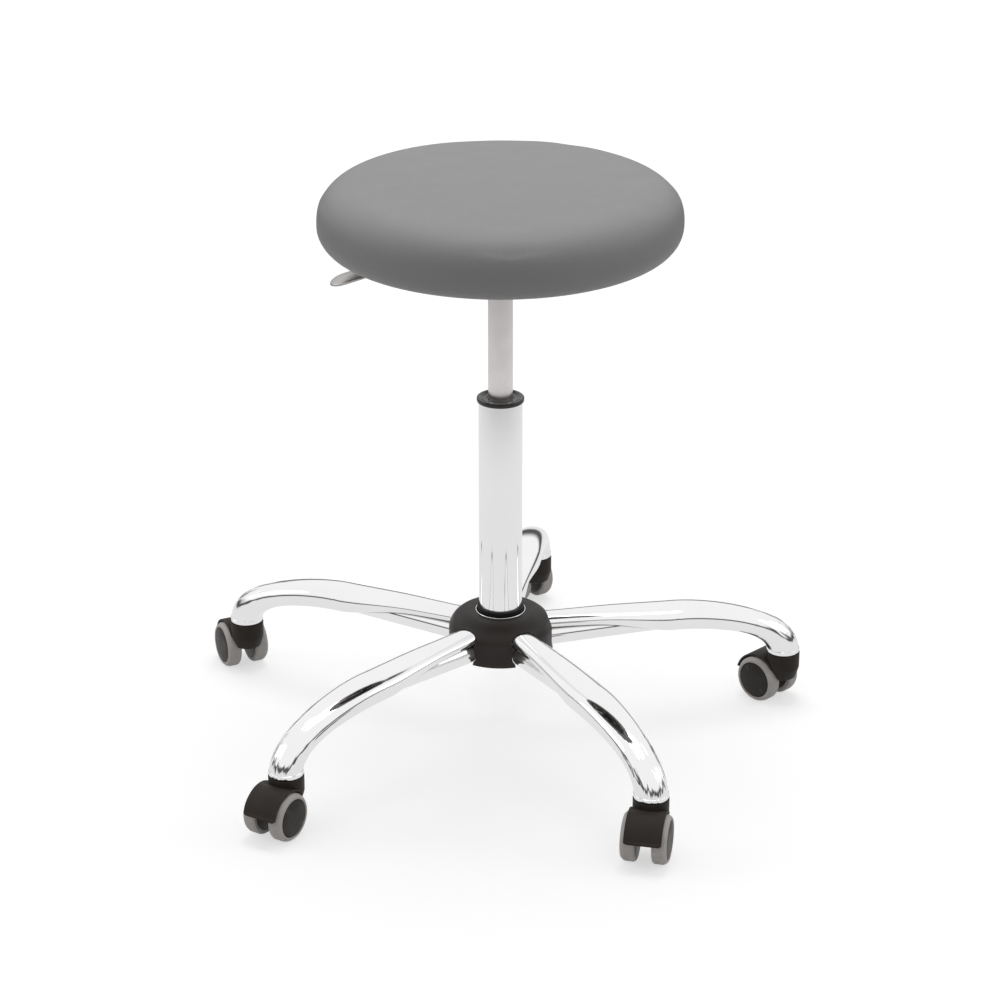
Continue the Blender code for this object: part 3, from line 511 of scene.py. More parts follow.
def make_chrome():
    look = Surface("bright_chrome", (0.90, 0.895, 0.90), 1.0, 0.05)
    look.mottle(9, 0.035)
    smudge = look.noise(22, 5)
    hairline = look.noise(900, 2, (1, 1, 0.05))
    look.rough(look.sum_of(smudge, look.ranged(hairline, -0.08, 0.08)), 0.03, 0.095)
    # Painted shade: the chrome is darker in hollows and along creases, where shade falls.
    look.tint(look.creases(), (0.06, 0.055, 0.05))
    look.bump(look.noise(70, 2), 0.00006, 0.35)
    drawn = look.noise(1, 2, (25, 220, 25))
    ends = look.ranged(look.axis("X"), 0, 1, 0.29, 0.335)
    look.bump(look.sum_of(drawn, ends, "MULTIPLY"), 0.002, 0.9)
    look.bump(look.noise(1600, 2), 0.000004, 0.4)
    return look.material


def make_brushed_chrome():
    look = Surface("brushed_chrome", (0.52, 0.50, 0.485), 1.0, 0.3)
    look.mottle(30, 0.10)
    brushed = look.noise(1, 3, (60, 1400, 1400))
    look.rough(brushed, 0.24, 0.40)
    look.bump(brushed, 0.00002, 0.5)
    return look.material


def make_satin_steel():
    look = Surface("satin_steel_rod", (0.80, 0.76, 0.76), 1.0, 0.3)
    look.mottle(14, 0.08, 3, (1, 1, 0.15))
    ground = look.noise(2600, 2, (0.02, 0.02, 1))
    look.rough(look.sum_of(look.noise(30, 3), look.ranged(ground, -0.15, 0.15)), 0.26, 0.40)
    look.bump(ground, 0.00001, 0.5)
    return look.material


def make_black_plastic(name, colour, gloss, smooth=0.46, rougher=0.60):
    look = Surface(name, colour, 0.0, 0.5)
    look.mottle(28, 0.18)
    pebble = look.noise(1300, 3)
    # Painted highlight: outer edges lightened up to three times the base colour.
    look.tint(look.ranged(look.edges(), 0.0, 0.45), [3.0 * channel for channel in colour])
    look.rough(look.noise(45, 4), smooth, rougher)
    look.bump(pebble, 0.00005, 0.6)
    look.shader.inputs["Specular IOR Level"].default_value = gloss
    return look.material


def make_collar_black():
    look = Surface("collar_black", (0.018, 0.016, 0.015), 0.0, 0.15)
    look.mottle(60, 0.3)
    look.rough(look.noise(140, 4), 0.08, 0.26)
    look.bump(look.noise(260, 3), 0.00035, 0.6)
    return look.material


def make_tyre():
    look = Surface("soft_grey_tyre", (0.54, 0.51, 0.49), 0.0, 0.6)
    look.mottle(60, 0.12)
    tread = look.ranged(look.radius(), 0, 1, 0.0262, 0.0274)
    worn = look.sum_of(tread, look.ranged(look.noise(160, 5), 0, 1, 0.35, 0.7), "MULTIPLY")
    look.tint(look.sum_of(worn, 0.3, "MULTIPLY"), (0.33, 0.31, 0.29))
    look.rough(look.noise(90, 4), 0.50, 0.70)
    look.bump(look.noise(1900, 3), 0.00004, 0.6)
    return look.material


def make_disc():
    look = Surface("wheel_disc_black", (0.030, 0.0255, 0.022), 0.0, 0.5)
    look.shader.inputs["Specular IOR Level"].default_value = 0.2
    look.mottle(40, 0.2)
    rings = look.node("ShaderNodeTexNoise", noise_dimensions="1D")
    rings.inputs["Scale"].default_value = 2600
    rings.inputs["Detail"].default_value = 2
    look.link(look.radius(), rings.inputs["W"])
    # Painted highlight: outer edges lightened towards dark grey.
    look.tint(look.ranged(look.edges(), 0.0, 0.4), (0.09, 0.085, 0.08))
    look.rough(look.noise(60, 4), 0.38, 0.54)
    look.bump(rings.outputs["Fac"], 0.00002, 0.5)
    look.bump(look.noise(1500, 2), 0.00003, 0.4)
    return look.material


def make_zinc():
    look = Surface("zinc_steel", (0.58, 0.58, 0.56), 1.0, 0.35)
    look.mottle(120, 0.15)
    look.rough(look.noise(300, 4), 0.26, 0.46)
    look.bump(look.noise(1400, 3), 0.00002, 0.6)
    return look.material


def make_powder_coat():
    look = Surface("black_powder_coat", (0.008, 0.008, 0.008), 0.0, 0.45)
    look.shader.inputs["Specular IOR Level"].default_value = 0.15
    look.mottle(25, 0.25)
    # Painted highlight: outer edges lightened towards dark grey.
    look.tint(look.ranged(look.edges(), 0.0, 0.3), (0.04, 0.04, 0.04))
    look.rough(look.noise(60, 4), 0.36, 0.52)
    look.bump(look.noise(800, 3), 0.00008, 0.6)
    return look.material


def make_board():
    look = Surface("stained_board", (0.030, 0.026, 0.023), 0.0, 0.7)
    grain = look.noise(60, 6, (1, 18, 1))
    look.tint(look.ranged(grain, 0.0, 0.7, 0.45, 0.7), (0.075, 0.058, 0.044))
    plies = look.node("ShaderNodeTexWave", wave_type="BANDS", bands_direction="Z")
    plies.inputs["Scale"].default_value = 130
    look.link(look.place, plies.inputs["Vector"])
    look.tint(look.ranged(plies.outputs["Fac"], 0.0, 0.35), (0.012, 0.010, 0.009))
    look.rough(grain, 0.6, 0.8)
    look.bump(grain, 0.00012, 0.6)
    return look.material


def make_acetal():
    look = Surface("white_acetal", (0.78, 0.78, 0.75), 0.0, 0.4)
    look.mottle(50, 0.06)
    look.rough(look.noise(80, 3), 0.32, 0.48)
    look.bump(look.noise(900, 2), 0.00003, 0.5)
    return look.material


def make_bronze():
    look = Surface("bearing_bronze", (0.55, 0.36, 0.15), 1.0, 0.4)
    look.mottle(180, 0.25)
    look.rough(look.noise(300, 3), 0.32, 0.5)
    look.bump(look.cells(1500), 0.00004, 0.5)
    return look.material


VINYL = make_vinyl()
CHROME = make_chrome()
SATIN = make_satin_steel()
BRUSHED = make_brushed_chrome()
PLASTIC = make_black_plastic("hub_black_plastic", (0.026, 0.0205, 0.0175), 0.3, 0.40, 0.52)
HOUSING = make_black_plastic("caster_black_plastic", (0.030, 0.025, 0.0215), 0.15)
COLLAR = make_collar_black()
TYRE = make_tyre()
DISC = make_disc()
ZINC = make_zinc()
POWDER = make_powder_coat()
BOARD = make_board()
ACETAL = make_acetal()
BRONZE = make_bronze()

SLOT_LOOKS = {
    "grey_vinyl": VINYL,
    "foam": VINYL,
    "plywood": BOARD,
    "chrome": CHROME,
    "satin_steel": SATIN,
    "zinc_steel": ZINC,
    "black_steel": POWDER,
    "black_plastic": HOUSING,
    "white_plastic": ACETAL,
    "grey_tyre": TYRE,
    "bronze": BRONZE,
}
for row in frame["record"]["subparts"]:
    node_mesh = frame["nodes"][row["node"]].data
    node_mesh.materials.clear()
    node_mesh.materials.append(SLOT_LOOKS[row["material_slot"]])


# Cushion


def cushion_outline(inset, count):
    """The cushion's profile from the crown's middle down and round to its underside, drawn in by inset."""
    top = SEAT_TOP - inset
    rise = top - SEAT_CROWN - SEAT_EDGE
    fall = SEAT_EDGE - SEAT_BOTTOM
    start = SEAT_RADIUS - SHOULDER_ABOVE
    points = [(0, top), (SEAT_FLAT_RADIUS / 2, top), (SEAT_FLAT_RADIUS, top)]
    rings = count // 2
    for i in range(1, rings):
        share = i / rings
        points.append((mixed(SEAT_FLAT_RADIUS, start, share), top - SEAT_CROWN * share**2))
    for i in range(count + 1):
        angle = math.pi / 2 * (1 - i / count)
        out = max(math.cos(angle), 0) ** (2 / SHOULDER_POWER)
        up = max(math.sin(angle), 0) ** (2 / SHOULDER_POWER)
        points.append((start + (SHOULDER_ABOVE - inset) * out, SEAT_EDGE + rise * up))
    start = SEAT_RADIUS - SHOULDER_BELOW
    for i in range(1, count + 1):
        angle = math.pi / 2 * i / count
        out = max(math.cos(angle), 0) ** (2 / UNDER_POWER)
        down = max(math.sin(angle), 0) ** (2 / UNDER_POWER)
        points.append((start + (SHOULDER_BELOW - inset) * out, SEAT_EDGE - fall * down))
    return points


CUSHION_SIDES = 96
CUSHION_INSET = 0.0012
CUSHION_RINGS = 18
CLOTH_PRESSURE = 4.0
CLOTH_STIFFNESS = 30
CLOTH_BENDING = 20
CLOTH_FRAMES = 20
MOST_SWELL = 0.0007
PLEATS = 46
PLEAT_DEPTH = 0.0011
PLEAT_HEIGHT = 0.006
PLEAT_FADE_IN = 0.012
PLEAT_FADE_OUT = 0.020
PLEAT_END = 0.052
STAPLES = 40
STAPLE_SIZE = (0.0009, 0.010, 0.0008)
STAPLE_INSET = 0.006
STAPLE_DROP = 0.0004


def swell(mesh):
    """Inflates the cushion as cloth under pressure, with its underside held by the board."""
    obj = linked("swelling", mesh)
    held = obj.vertex_groups.new(name="held")
    rest = [vertex.co.copy() for vertex in mesh.vertices]
    for vertex in mesh.vertices:
        flat_radius = math.hypot(vertex.co.x, vertex.co.y)
        low = vertex.co.z < BOARD_TOP + 2 * GAP and flat_radius < SEAT_RADIUS - SHOULDER_BELOW + 0.004
        if low:
            held.add([vertex.index], 1.0, "REPLACE")
    cloth = obj.modifiers.new("Cloth", "CLOTH")
    cloth.settings.use_pressure = True
    cloth.settings.uniform_pressure_force = CLOTH_PRESSURE
    cloth.settings.vertex_group_mass = "held"
    cloth.settings.effector_weights.gravity = 0
    cloth.settings.tension_stiffness = CLOTH_STIFFNESS
    cloth.settings.compression_stiffness = CLOTH_STIFFNESS
    cloth.settings.bending_stiffness = CLOTH_BENDING
    scene = bpy.context.scene
    cloth.point_cache.frame_start = 1
    cloth.point_cache.frame_end = CLOTH_FRAMES
    for number in range(1, CLOTH_FRAMES + 1):
        scene.frame_set(number)
    graph = bpy.context.evaluated_depsgraph_get()
    swollen = bpy.data.meshes.new_from_object(obj.evaluated_get(graph))
    for vertex, start in zip(swollen.vertices, rest):
        move = vertex.co - start
        if move.length > MOST_SWELL:
            vertex.co = start + move.normalized() * MOST_SWELL
    scene.frame_set(1)
    bpy.data.objects.remove(obj)
    return swollen


def subdivided(mesh, levels):
    obj = linked("subdividing", mesh)
    modifier = obj.modifiers.new("Subdivision", "SUBSURF")
    modifier.levels = levels
    modifier.render_levels = levels
    bpy.context.view_layer.update()
    graph = bpy.context.evaluated_depsgraph_get()
    result = bpy.data.meshes.new_from_object(obj.evaluated_get(graph))
    bpy.data.objects.remove(obj)
    return result


def pleat(mesh):
    """Folds in the vinyl where it is pulled in under the seat."""
    for vertex in mesh.vertices:
        flat_radius = math.hypot(vertex.co.x, vertex.co.y)
        if vertex.co.z > SEAT_BOTTOM + PLEAT_HEIGHT or flat_radius < HEM_RADIUS + 0.001:
            continue
        angle = math.atan2(vertex.co.y, vertex.co.x)
        wave = math.sin(PLEATS * angle + 1.7 * math.sin(3 * angle) + 0.9 * math.sin(7 * angle + 1))
        inner = ease((flat_radius - HEM_RADIUS) / PLEAT_FADE_IN)
        outer = 1 - ease((flat_radius - SEAT_RADIUS + PLEAT_END) / PLEAT_FADE_OUT)
        vertex.co.z -= PLEAT_DEPTH * (0.5 + 0.5 * wave) * inner * outer


def make_cushion():
    outline = cushion_outline(CUSHION_INSET, CUSHION_RINGS)
    under = [(0.158, SEAT_BOTTOM), (0.151, SEAT_BOTTOM), (HEM_RADIUS, SEAT_BOTTOM)]
    under += [(HEM_RADIUS, SEAT_BOTTOM + COVER_THICKNESS), (0.155, SEAT_BOTTOM + COVER_THICKNESS)]
    under += [(BOARD_RADIUS + GAP, SEAT_BOTTOM + COVER_THICKNESS), (BOARD_RADIUS + GAP, BOARD_TOP + GAP)]
    under += [(0.10, BOARD_TOP + GAP), (0, BOARD_TOP + GAP)]
    mesh = revolved("cushion", outline + under, CUSHION_SIDES, smooth_angle=180)
    mesh = swell(mesh)
    mesh = subdivided(mesh, 2)
    pleat(mesh)
    mesh.shade_smooth()
    cushion = piece("seat_cushion", mesh, VINYL, "seat", "grey_vinyl", "upholstery_cover", "foam_pad")


def make_staples():
    """Staples that hold the vinyl's hem to the board."""
    shape = bmesh.new()
    for number in range(STAPLES):
        angle = 2 * math.pi * (number + 0.5) / STAPLES + 0.02 * math.sin(11.0 * number)
        radius = HEM_RADIUS + STAPLE_INSET + 0.0012 * math.sin(5.0 * number)
        place = Matrix.Translation((radius, 0, SEAT_BOTTOM - STAPLE_DROP))
        place = Matrix.Rotation(angle, 4, "Z") @ place
        place = place @ Matrix.Rotation(0.25 * math.sin(3.0 * number), 4, "Z")
        bmesh.ops.create_cube(shape, size=1, matrix=place @ Matrix.Diagonal((*STAPLE_SIZE, 1)))
    mesh = bpy.data.meshes.new("staples")
    shape.to_mesh(mesh)
    shape.free()
    piece("seat_staples", cleaned(mesh), ZINC, "seat", "zinc_steel")


# Lever and bolts under the seat


def lever_section(along, width, drop, thickness):
    flat = max(width / 2 - thickness / 2, 0.0002)
    steps = 10
    points = []
    for side in (1, -1):
        for step in range(steps + 1):
            angle = math.pi / 2 - math.pi * step / steps
            across = side * (flat + thickness / 2 * math.cos(angle))
            points.append((along, across, side * thickness / 2 * math.sin(angle) - drop))
    return points


def lever_drop(along):
    """How far the lever has bent down at a distance from its pivot."""
    share = max(along - LEVER_STRAIGHT, 0) / (LEVER_REACH - LEVER_STRAIGHT)
    return LEVER_DROOP * share**LEVER_DROOP_POWER


def make_lever():
    tip = LEVER_PADDLE_WIDTH / 2
    paddle_end = LEVER_REACH - tip
    widening = LEVER_WIDENING_START * LEVER_REACH
    inner_end = -LEVER_PIVOT - LEVER_BAR_WIDTH / 2
    rings = []
    for step in range(7):
        along = mixed(inner_end, LEVER_STRAIGHT, step / 6)
        rings.append(lever_section(along, LEVER_BAR_WIDTH, 0, LEVER_THICKNESS))
    for step in range(1, 41):
        along = mixed(LEVER_STRAIGHT, paddle_end, step / 40)
        share = (along - widening) / (paddle_end - widening)
        width = mixed(LEVER_BAR_WIDTH, LEVER_PADDLE_WIDTH, ease(share * 1.2))
        rings.append(lever_section(along, width, lever_drop(along), LEVER_THICKNESS))
    for step in range(1, 13):
        angle = math.radians(84) * step / 12
        along = paddle_end + tip * math.sin(angle)
        width = max(LEVER_PADDLE_WIDTH * math.cos(angle), LEVER_THICKNESS)
        thickness = mixed(LEVER_THICKNESS, LEVER_TIP_THICKNESS, ease(step / 12))
        rings.append(lever_section(along, width, lever_drop(along), thickness))
    across = Matrix.Rotation(math.pi / 2, 4, "X")
    boss = cylinder(LEVER_BOSS_RADIUS, -LEVER_BAR_WIDTH / 2, LEVER_BAR_WIDTH / 2, 48, across)
    hole = cylinder(LEVER_HOLE_RADIUS, -LEVER_BAR_WIDTH, LEVER_BAR_WIDTH, 32, across)
    mesh = cut_mesh(lofted("lever", rings), [(boss, "UNION"), (hole, "DIFFERENCE")])
    turn = Matrix.Rotation(LEVER_ANGLE, 4, "Z")
    pivot = Vector((LEVER_PIVOT * math.cos(LEVER_ANGLE), LEVER_PIVOT * math.sin(LEVER_ANGLE), LEVER_HEIGHT))
    place = Matrix.Translation(pivot) @ turn
    piece("lever_paddle", mesh, BRUSHED, "lever", "chrome", "release_lever", place=place)


def make_bolts():
    """Hexagon bolts with washers."""
    washer_bottom = BOLT_SEAT - WASHER_THICKNESS
    washer = [(WASHER_HOLE_RADIUS, BOLT_SEAT, 0), (WASHER_RADIUS, BOLT_SEAT, 0.0003)]
    washer += [(WASHER_RADIUS, washer_bottom, 0.0003), (WASHER_HOLE_RADIUS, washer_bottom, 0)]
    head_bottom = BOLT_SEAT - BOLT_HEAD_BOTTOM
    head = [(0, BOLT_SEAT - BOLT_HEAD_TOP), (BOLT_HEAD_RADIUS, BOLT_SEAT - BOLT_HEAD_TOP)]
    head += [(BOLT_HEAD_RADIUS, BOLT_SEAT - BOLT_HEAD_EDGE)]
    head += [(BOLT_HEAD_FACE_RADIUS, head_bottom), (0, head_bottom)]
    corners = [(x, y) for x in (-BOLT_PLACE, BOLT_PLACE) for y in (-BOLT_PLACE, BOLT_PLACE)]
    for number, (x, y) in enumerate(corners, 1):
        tools = [
            (revolved("head", head, 6, smooth_angle=10), "UNION"),
            (revolved("washer", filleted(washer, 3, True), 48, True), "UNION"),
        ]
        mesh = cut_mesh(cylinder(BOLT_RADIUS, BOLT_SEAT - 0.002, BOARD_TOP - GAP, 32), tools, 30)
        place = Matrix.Rotation(LEVER_ANGLE, 4, "Z") @ Matrix.Translation((x, y, 0))
        place = place @ Matrix.Rotation(0.4 * number, 4, "Z")
        piece(f"seat_bolt_hex_{number}", mesh, ZINC, "seat", "zinc_steel", f"seat_bolt_{number}", place=place)


# Column


def make_column():
    tube = [
        (COLUMN_INSIDE, COLUMN_TOP, 0.0002),
        (COLUMN_RADIUS, COLUMN_TOP, 0.0006),
        (COLUMN_RADIUS, COLUMN_TAPER_TOP, 0.01),
        (COLUMN_FOOT_RADIUS, COLUMN_FOOT, 0.0008),
        (ROD_HOLE_RADIUS, COLUMN_FOOT, 0.0002),
        (ROD_HOLE_RADIUS, COLUMN_FLOOR, 0.0002),
        (COLUMN_FLOOR_RADIUS, COLUMN_FLOOR, 0.001),
        (COLUMN_INSIDE, COLUMN_TAPER_TOP, 0.01),
    ]
    mesh = revolved("column", filleted(tube, 4, True), 128, True, 30)
    piece("column_tube_chrome", mesh, CHROME, "base", "chrome", "column_tube")

    bore = CYLINDER_RADIUS + COLLAR_PLAY
    collar = [
        (bore, COLLAR_TOP - 0.0019, 0.0004),
        (COLLAR_DISH_RADIUS, COLLAR_TOP - 0.0016, 0.003),
        (COLLAR_RIM_RADIUS, COLLAR_TOP, 0.0012),
        (COLLAR_RADIUS, COLLAR_TOP, 0.0019),
        (COLLAR_RADIUS, COLLAR_BOTTOM, 0.0014),
        (COLLAR_SKIRT_RADIUS, COLLAR_BOTTOM, 0.0002),
        (COLLAR_SKIRT_RADIUS, COLLAR_TOP - COLLAR_LEDGE, 0),
        (bore, COLLAR_TOP - COLLAR_LEDGE, 0),
    ]
    mesh = revolved("collar", filleted(collar, 6, True), 128, True, 50)
    piece("collar_ring_gloss", mesh, COLLAR, "base", "black_plastic", "collar_ring")

    low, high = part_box("gas_cylinder")
    rod = [
        (VALVE_HOLE_RADIUS, high.z, 0),
        (CYLINDER_TOP_RADIUS, high.z, 0.0005),
        (CYLINDER_RADIUS, high.z - CYLINDER_TAPER, 0.004),
        (CYLINDER_RADIUS, low.z, 0.0006),
        (ROD_HOLE_RADIUS, low.z, 0),
        (ROD_HOLE_RADIUS, low.z + CYLINDER_END_WALL, 0),
        (CYLINDER_INSIDE, low.z + CYLINDER_END_WALL, 0),
        (CYLINDER_INSIDE, high.z - CYLINDER_END_WALL, 0),
        (VALVE_HOLE_RADIUS, high.z - CYLINDER_END_WALL, 0),
    ]
    mesh = revolved("rod", filleted(rod, 4, True), 96, True, 30)
    piece("gas_cylinder_satin", mesh, SATIN, "seat", "satin_steel", "gas_cylinder")

    core = [
        (CORE_NECK_RADIUS, CORE_TOP, 0.0012),
        (CORE_NECK_RADIUS, CORE_STEP, 0.001),
        (CORE_RADIUS, CORE_STEP, 0.001),
        (CORE_RADIUS, CORE_BOTTOM, 0.001),
        (CORE_BOTTOM_BORE, CORE_BOTTOM, 0.0003),
        (CORE_TOP_BORE, CORE_TOP, 0.0003),
    ]
    mesh = revolved("core", filleted(core, 4, True), 96, True, 30)
    piece("hub_core_steel", mesh, POWDER, "base", "black_steel", "hub_core")


# Arms


def bezier(points, t):
    while len(points) > 2:
        points = [a.lerp(b, t) for a, b in zip(points, points[1:])]
    return points[0].lerp(points[1], t), (points[1] - points[0]).normalized()


def deepening(t):
    """How far the arm's tube has gone from its depth at the root to that at the crest."""
    return ease((t - ARM_DEEPENING_START) / (1 - ARM_DEEPENING_START))


def arm_path(t):
    """Centre of the arm's upper tube and the direction its section faces: upright up to the crest."""
    if t <= 1:
        before = Vector(((ARM_ROOT.x + 2 * ARM_CREST.x) / 3, ARM_CREST.y))
        radius = bezier([ARM_ROOT, before, ARM_CREST], t)[0].x
        return Vector((radius, mixed(ARM_ROOT.y, ARM_CREST.y, deepening(t)))), Vector((1, 0))
    over = ARM_CREST + Vector((1, ARM_CREST_SLOPE)) * (ARM_END.x - ARM_CREST.x) * ARM_CREST_REACH
    above = Vector((ARM_END.x, ARM_END.y + (ARM_CREST.y - ARM_END.y) * ARM_BEND_PULL))
    return bezier([ARM_CREST, over, above, ARM_END], t - 1)


UPPER_POINTS = 64
RIB_POINTS = 40
LEAST_RIB = math.radians(4)


def arm_ring(t, inset=0.0):
    """The arm's section: a flattened tube joined along two creases with the rib under it."""
    centre, direction = arm_path(t)
    swelling = ease((t - ARM_SWELLING_START) / ARM_SWELLING_LENGTH)
    narrowed = ease((t - ARM_NARROWING_START) / ARM_NARROWING_LENGTH)
    flat_height = mixed(ARM_ROOT_HALF_HEIGHT, ARM_HALF_HEIGHT, deepening(t))
    flat_width = mixed(ARM_ROOT_HALF_WIDTH, ARM_HALF_WIDTH, ease(t))
    half_height = mixed(flat_height, SLEEVE_RADIUS, swelling) - inset
    half_width = mixed(flat_width, SLEEVE_RADIUS, narrowed) - inset
    power = mixed(mixed(ARM_ROOT_SQUARENESS, ARM_SQUARENESS, ease(t)), 2.0, narrowed)
    rib_middle = ARM_ROOT.y - RIB_ROOT_DROP + RIB_SLOPE * (centre.x - ARM_ROOT.x)
    drop = max(centre.y - rib_middle, 0)
    rib_width = RIB_HALF_WIDTH - inset
    rib_height = RIB_HALF_HEIGHT - inset

    def tube_reach(angle):
        across, up = math.cos(angle), math.sin(angle)
        return (abs(across / half_width) ** power + abs(up / half_height) ** power) ** (-1 / power)

    def rib_reach(angle):
        across, up = math.cos(angle), math.sin(angle)
        a = (across / rib_width) ** 2 + (up / rib_height) ** 2
        b = up * drop / rib_height**2
        c = (drop / rib_height) ** 2 - 1
        return (math.sqrt(b * b - a * c) - b) / a if b * b > a * c else 0.0

    low, high = -math.pi / 2, 0.0
    for _ in range(40):
        middle = (low + high) / 2
        if rib_reach(middle) > tube_reach(middle):
            low = middle
        else:
            high = middle
    crease = max(low, LEAST_RIB - math.pi / 2)
    angles = [mixed(crease, math.pi - crease, i / UPPER_POINTS) for i in range(UPPER_POINTS)]
    angles += [mixed(math.pi - crease, 2 * math.pi + crease, i / RIB_POINTS) for i in range(RIB_POINTS)]
    points = []
    for angle in angles:
        reach = max(tube_reach(angle), rib_reach(angle))
        lift = Vector((-direction.y, direction.x)) * reach * math.sin(angle)
        points.append((centre.x + lift.x, reach * math.cos(angle), centre.y + lift.y))
    return points


def level_ring(radius, height):
    """A level circle round the caster's stem, in the order of the arm's last ring."""
    points = []
    for i in range(UPPER_POINTS):
        points.append(mixed(LEAST_RIB - math.pi / 2, math.pi * 1.5 - LEAST_RIB, i / UPPER_POINTS))
    for i in range(RIB_POINTS):
        points.append(mixed(math.pi * 1.5 - LEAST_RIB, math.pi * 1.5 + LEAST_RIB, i / RIB_POINTS))
    return [(STEM_CIRCLE + radius * math.sin(a), radius * math.cos(a), height) for a in points]


def make_arms():
    stations = [0.04 * i for i in range(26)] + [1 + 0.02 * i for i in range(1, 48)]
    rings = [arm_ring(t) for t in stations]
    lip_top = ARM_END.y + LIP_HEIGHT
    plug = ARM_END.y + PLUG_INSET
    lip = [
        (SLEEVE_RADIUS, lip_top + 0.0006, 0),
        (SLEEVE_RADIUS + 0.0001, lip_top, 0.0003),
        (LIP_RADIUS, lip_top - 0.0003, 0.0007),
        (LIP_RADIUS, ARM_END.y, 0.0009),
        (LIP_INSIDE, ARM_END.y, 0.0006),
        (PLUG_RADIUS, plug, 0),
        (STEM_HOLE_RADIUS, plug, 0.0003),
        (STEM_HOLE_RADIUS, ARM_END.y + STEM_HOLE_DEPTH, 0),
    ]
    rings += [level_ring(radius, height) for radius, height in filleted(lip, 4)]
    mesh = lofted("arm", rings, 48)
    for name, angle in ARM_ANGLES.items():
        place = Matrix.Rotation(angle, 4, "Z")
        piece(f"arm_chrome_{name}", mesh, CHROME, "base", "chrome", f"arm_{name}", place=place)


# Hub cover


def make_hub_cover():
    shoulder = COVER_HOLE + COVER_RIM_WIDTH
    spring = COVER_TOP - COVER_DOME
    foot = COVER_RADIUS + COVER_FLARE
    turns = [math.pi / 2 * i / COVER_DOME_STEPS for i in range(COVER_DOME_STEPS + 1)]
    outside = [
        (COVER_HOLE, COVER_TOP - 0.0022),
        (COVER_HOLE, COVER_TOP - 0.0006),
        (COVER_HOLE + 0.0003, COVER_TOP + 0.0001),
        (COVER_HOLE + 0.0009, COVER_TOP + 0.0004),
        (COVER_HOLE + 0.0016, COVER_TOP + 0.0001),
    ]
    reach = COVER_RADIUS - shoulder
    for angle in turns:
        outside.append((shoulder + reach * math.sin(angle), spring + COVER_DOME * math.cos(angle)))
    outside.append((COVER_RADIUS, COVER_BOTTOM + 0.007))
    outside.append((COVER_RADIUS + 0.0004, COVER_BOTTOM + 0.003))
    outside.append((foot, COVER_BOTTOM))
    inside = [(foot - COVER_WALL, COVER_BOTTOM)]
    reach = COVER_RADIUS - COVER_WALL - COVER_HOLE
    rise = COVER_DOME - COVER_WALL
    for angle in reversed(turns):
        inside.append((COVER_HOLE + reach * math.sin(angle), spring + rise * math.cos(angle)))
    shell = revolved("hub_cover", outside + inside, 160, True)
    tools = []
    for angle in ARM_ANGLES.values():
        turn = Matrix.Rotation(angle, 4, "Z")
        opening = lofted("opening", [arm_ring(t, -ARM_PLAY) for t in (0.0, 0.2, 0.4)])
        slot_low = (SLOT_START, -SLOT_HALF_WIDTH, COVER_BOTTOM - 0.01)
        slot = box(slot_low, (SLOT_END, SLOT_HALF_WIDTH, SLOT_TOP))
        for mesh in (opening, slot):
            mesh.transform(turn)
            tools.append((mesh, "DIFFERENCE"))
    mesh = cut_mesh(shell, tools, 35)
    piece("hub_cover_dome", mesh, PLASTIC, "base", "black_plastic", "hub_cover")
    bead = []
    for i in range(BEAD_SIDES):
        angle = 2 * math.pi * i / BEAD_SIDES
        across = COVER_HOLE - BEAD_INSET + BEAD_RADIUS * math.cos(angle)
        bead.append((across, COVER_TOP + BEAD_RADIUS * math.sin(angle)))
    piece("hub_rim_bead", revolved("rim_bead", bead, 128, True, 180), CHROME, "base", "chrome")


# Casters


def caster_frame(name):
    angle = ARM_ANGLES[name]
    stem = Vector((STEM_CIRCLE * math.cos(angle), STEM_CIRCLE * math.sin(angle), 0))
    return Matrix.Translation(stem) @ Matrix.Rotation(math.radians(TRAIL_ANGLES[name] + 180), 4, "Z")


def axle_frame(across=0.0, outward=1):
    """From a shape turned about Z to the axle, with its upper side outward."""
    place = Matrix.Translation((-CASTER_TRAIL, across, WHEEL_RADIUS))
    return place @ Matrix.Rotation(-outward * math.pi / 2, 4, "X")


def housing_mesh():
    """The hood over both wheels, the barrel round the stem and a boss round the axle."""
    inner = WHEEL_SPACING / 2 - TYRE_WIDTH / 2 - WHEEL_SIDE_PLAY
    well = WHEEL_RADIUS + WELL_PLAY
    half = HOOD_WIDTH / 2
    outer = well + HOOD_WALL
    hood = revolved("hood", [(0, half), (outer, half), (outer, -half), (0, -half)], 128)
    hood.transform(axle_frame())
    barrel = [
        (0, BARREL_TOP, 0),
        (BARREL_RADIUS, BARREL_TOP, 0.0014),
        (BARREL_RADIUS, BARREL_WAIST, 0.012),
        (BARREL_FOOT_RADIUS, HOOD_BOTTOM, 0.0022),
        (0, HOOD_BOTTOM, 0),
    ]
    barrel_mesh = revolved("barrel", filleted(barrel, 8), 96)
    side = half + 0.001
    kept = [(side, HOOD_BOUND, 0), (side, HOOD_BOTTOM, HOOD_CORNER)]
    kept += [(-side, HOOD_BOTTOM, HOOD_CORNER), (-side, HOOD_BOUND, 0)]
    outline = filleted(kept, 8, True)
    keep = lofted("keep", [[(x, y, z) for y, z in outline] for x in (-HOOD_BOUND, 0.0)])
    boss = cylinder(AXLE_BOSS_RADIUS, -half, half, 48, axle_frame())
    tools = [(keep, "INTERSECT"), (barrel_mesh, "UNION"), (boss, "UNION")]
    for low, high in ((inner, BORE_REACH), (-BORE_REACH, -inner)):
        tools.append((cylinder(well, low, high, 128, axle_frame()), "DIFFERENCE"))
    axle_bore = cylinder(AXLE_HOLE_RADIUS, -BORE_REACH, BORE_REACH, 32, axle_frame())
    tools.append((axle_bore, "DIFFERENCE"))
    tools.append((cylinder(STEM_HOLE_RADIUS, STEM_HOLE_BOTTOM, HOOD_BOUND, 32), "DIFFERENCE"))
    return cut_mesh(hood, tools, 30, 0.0006)


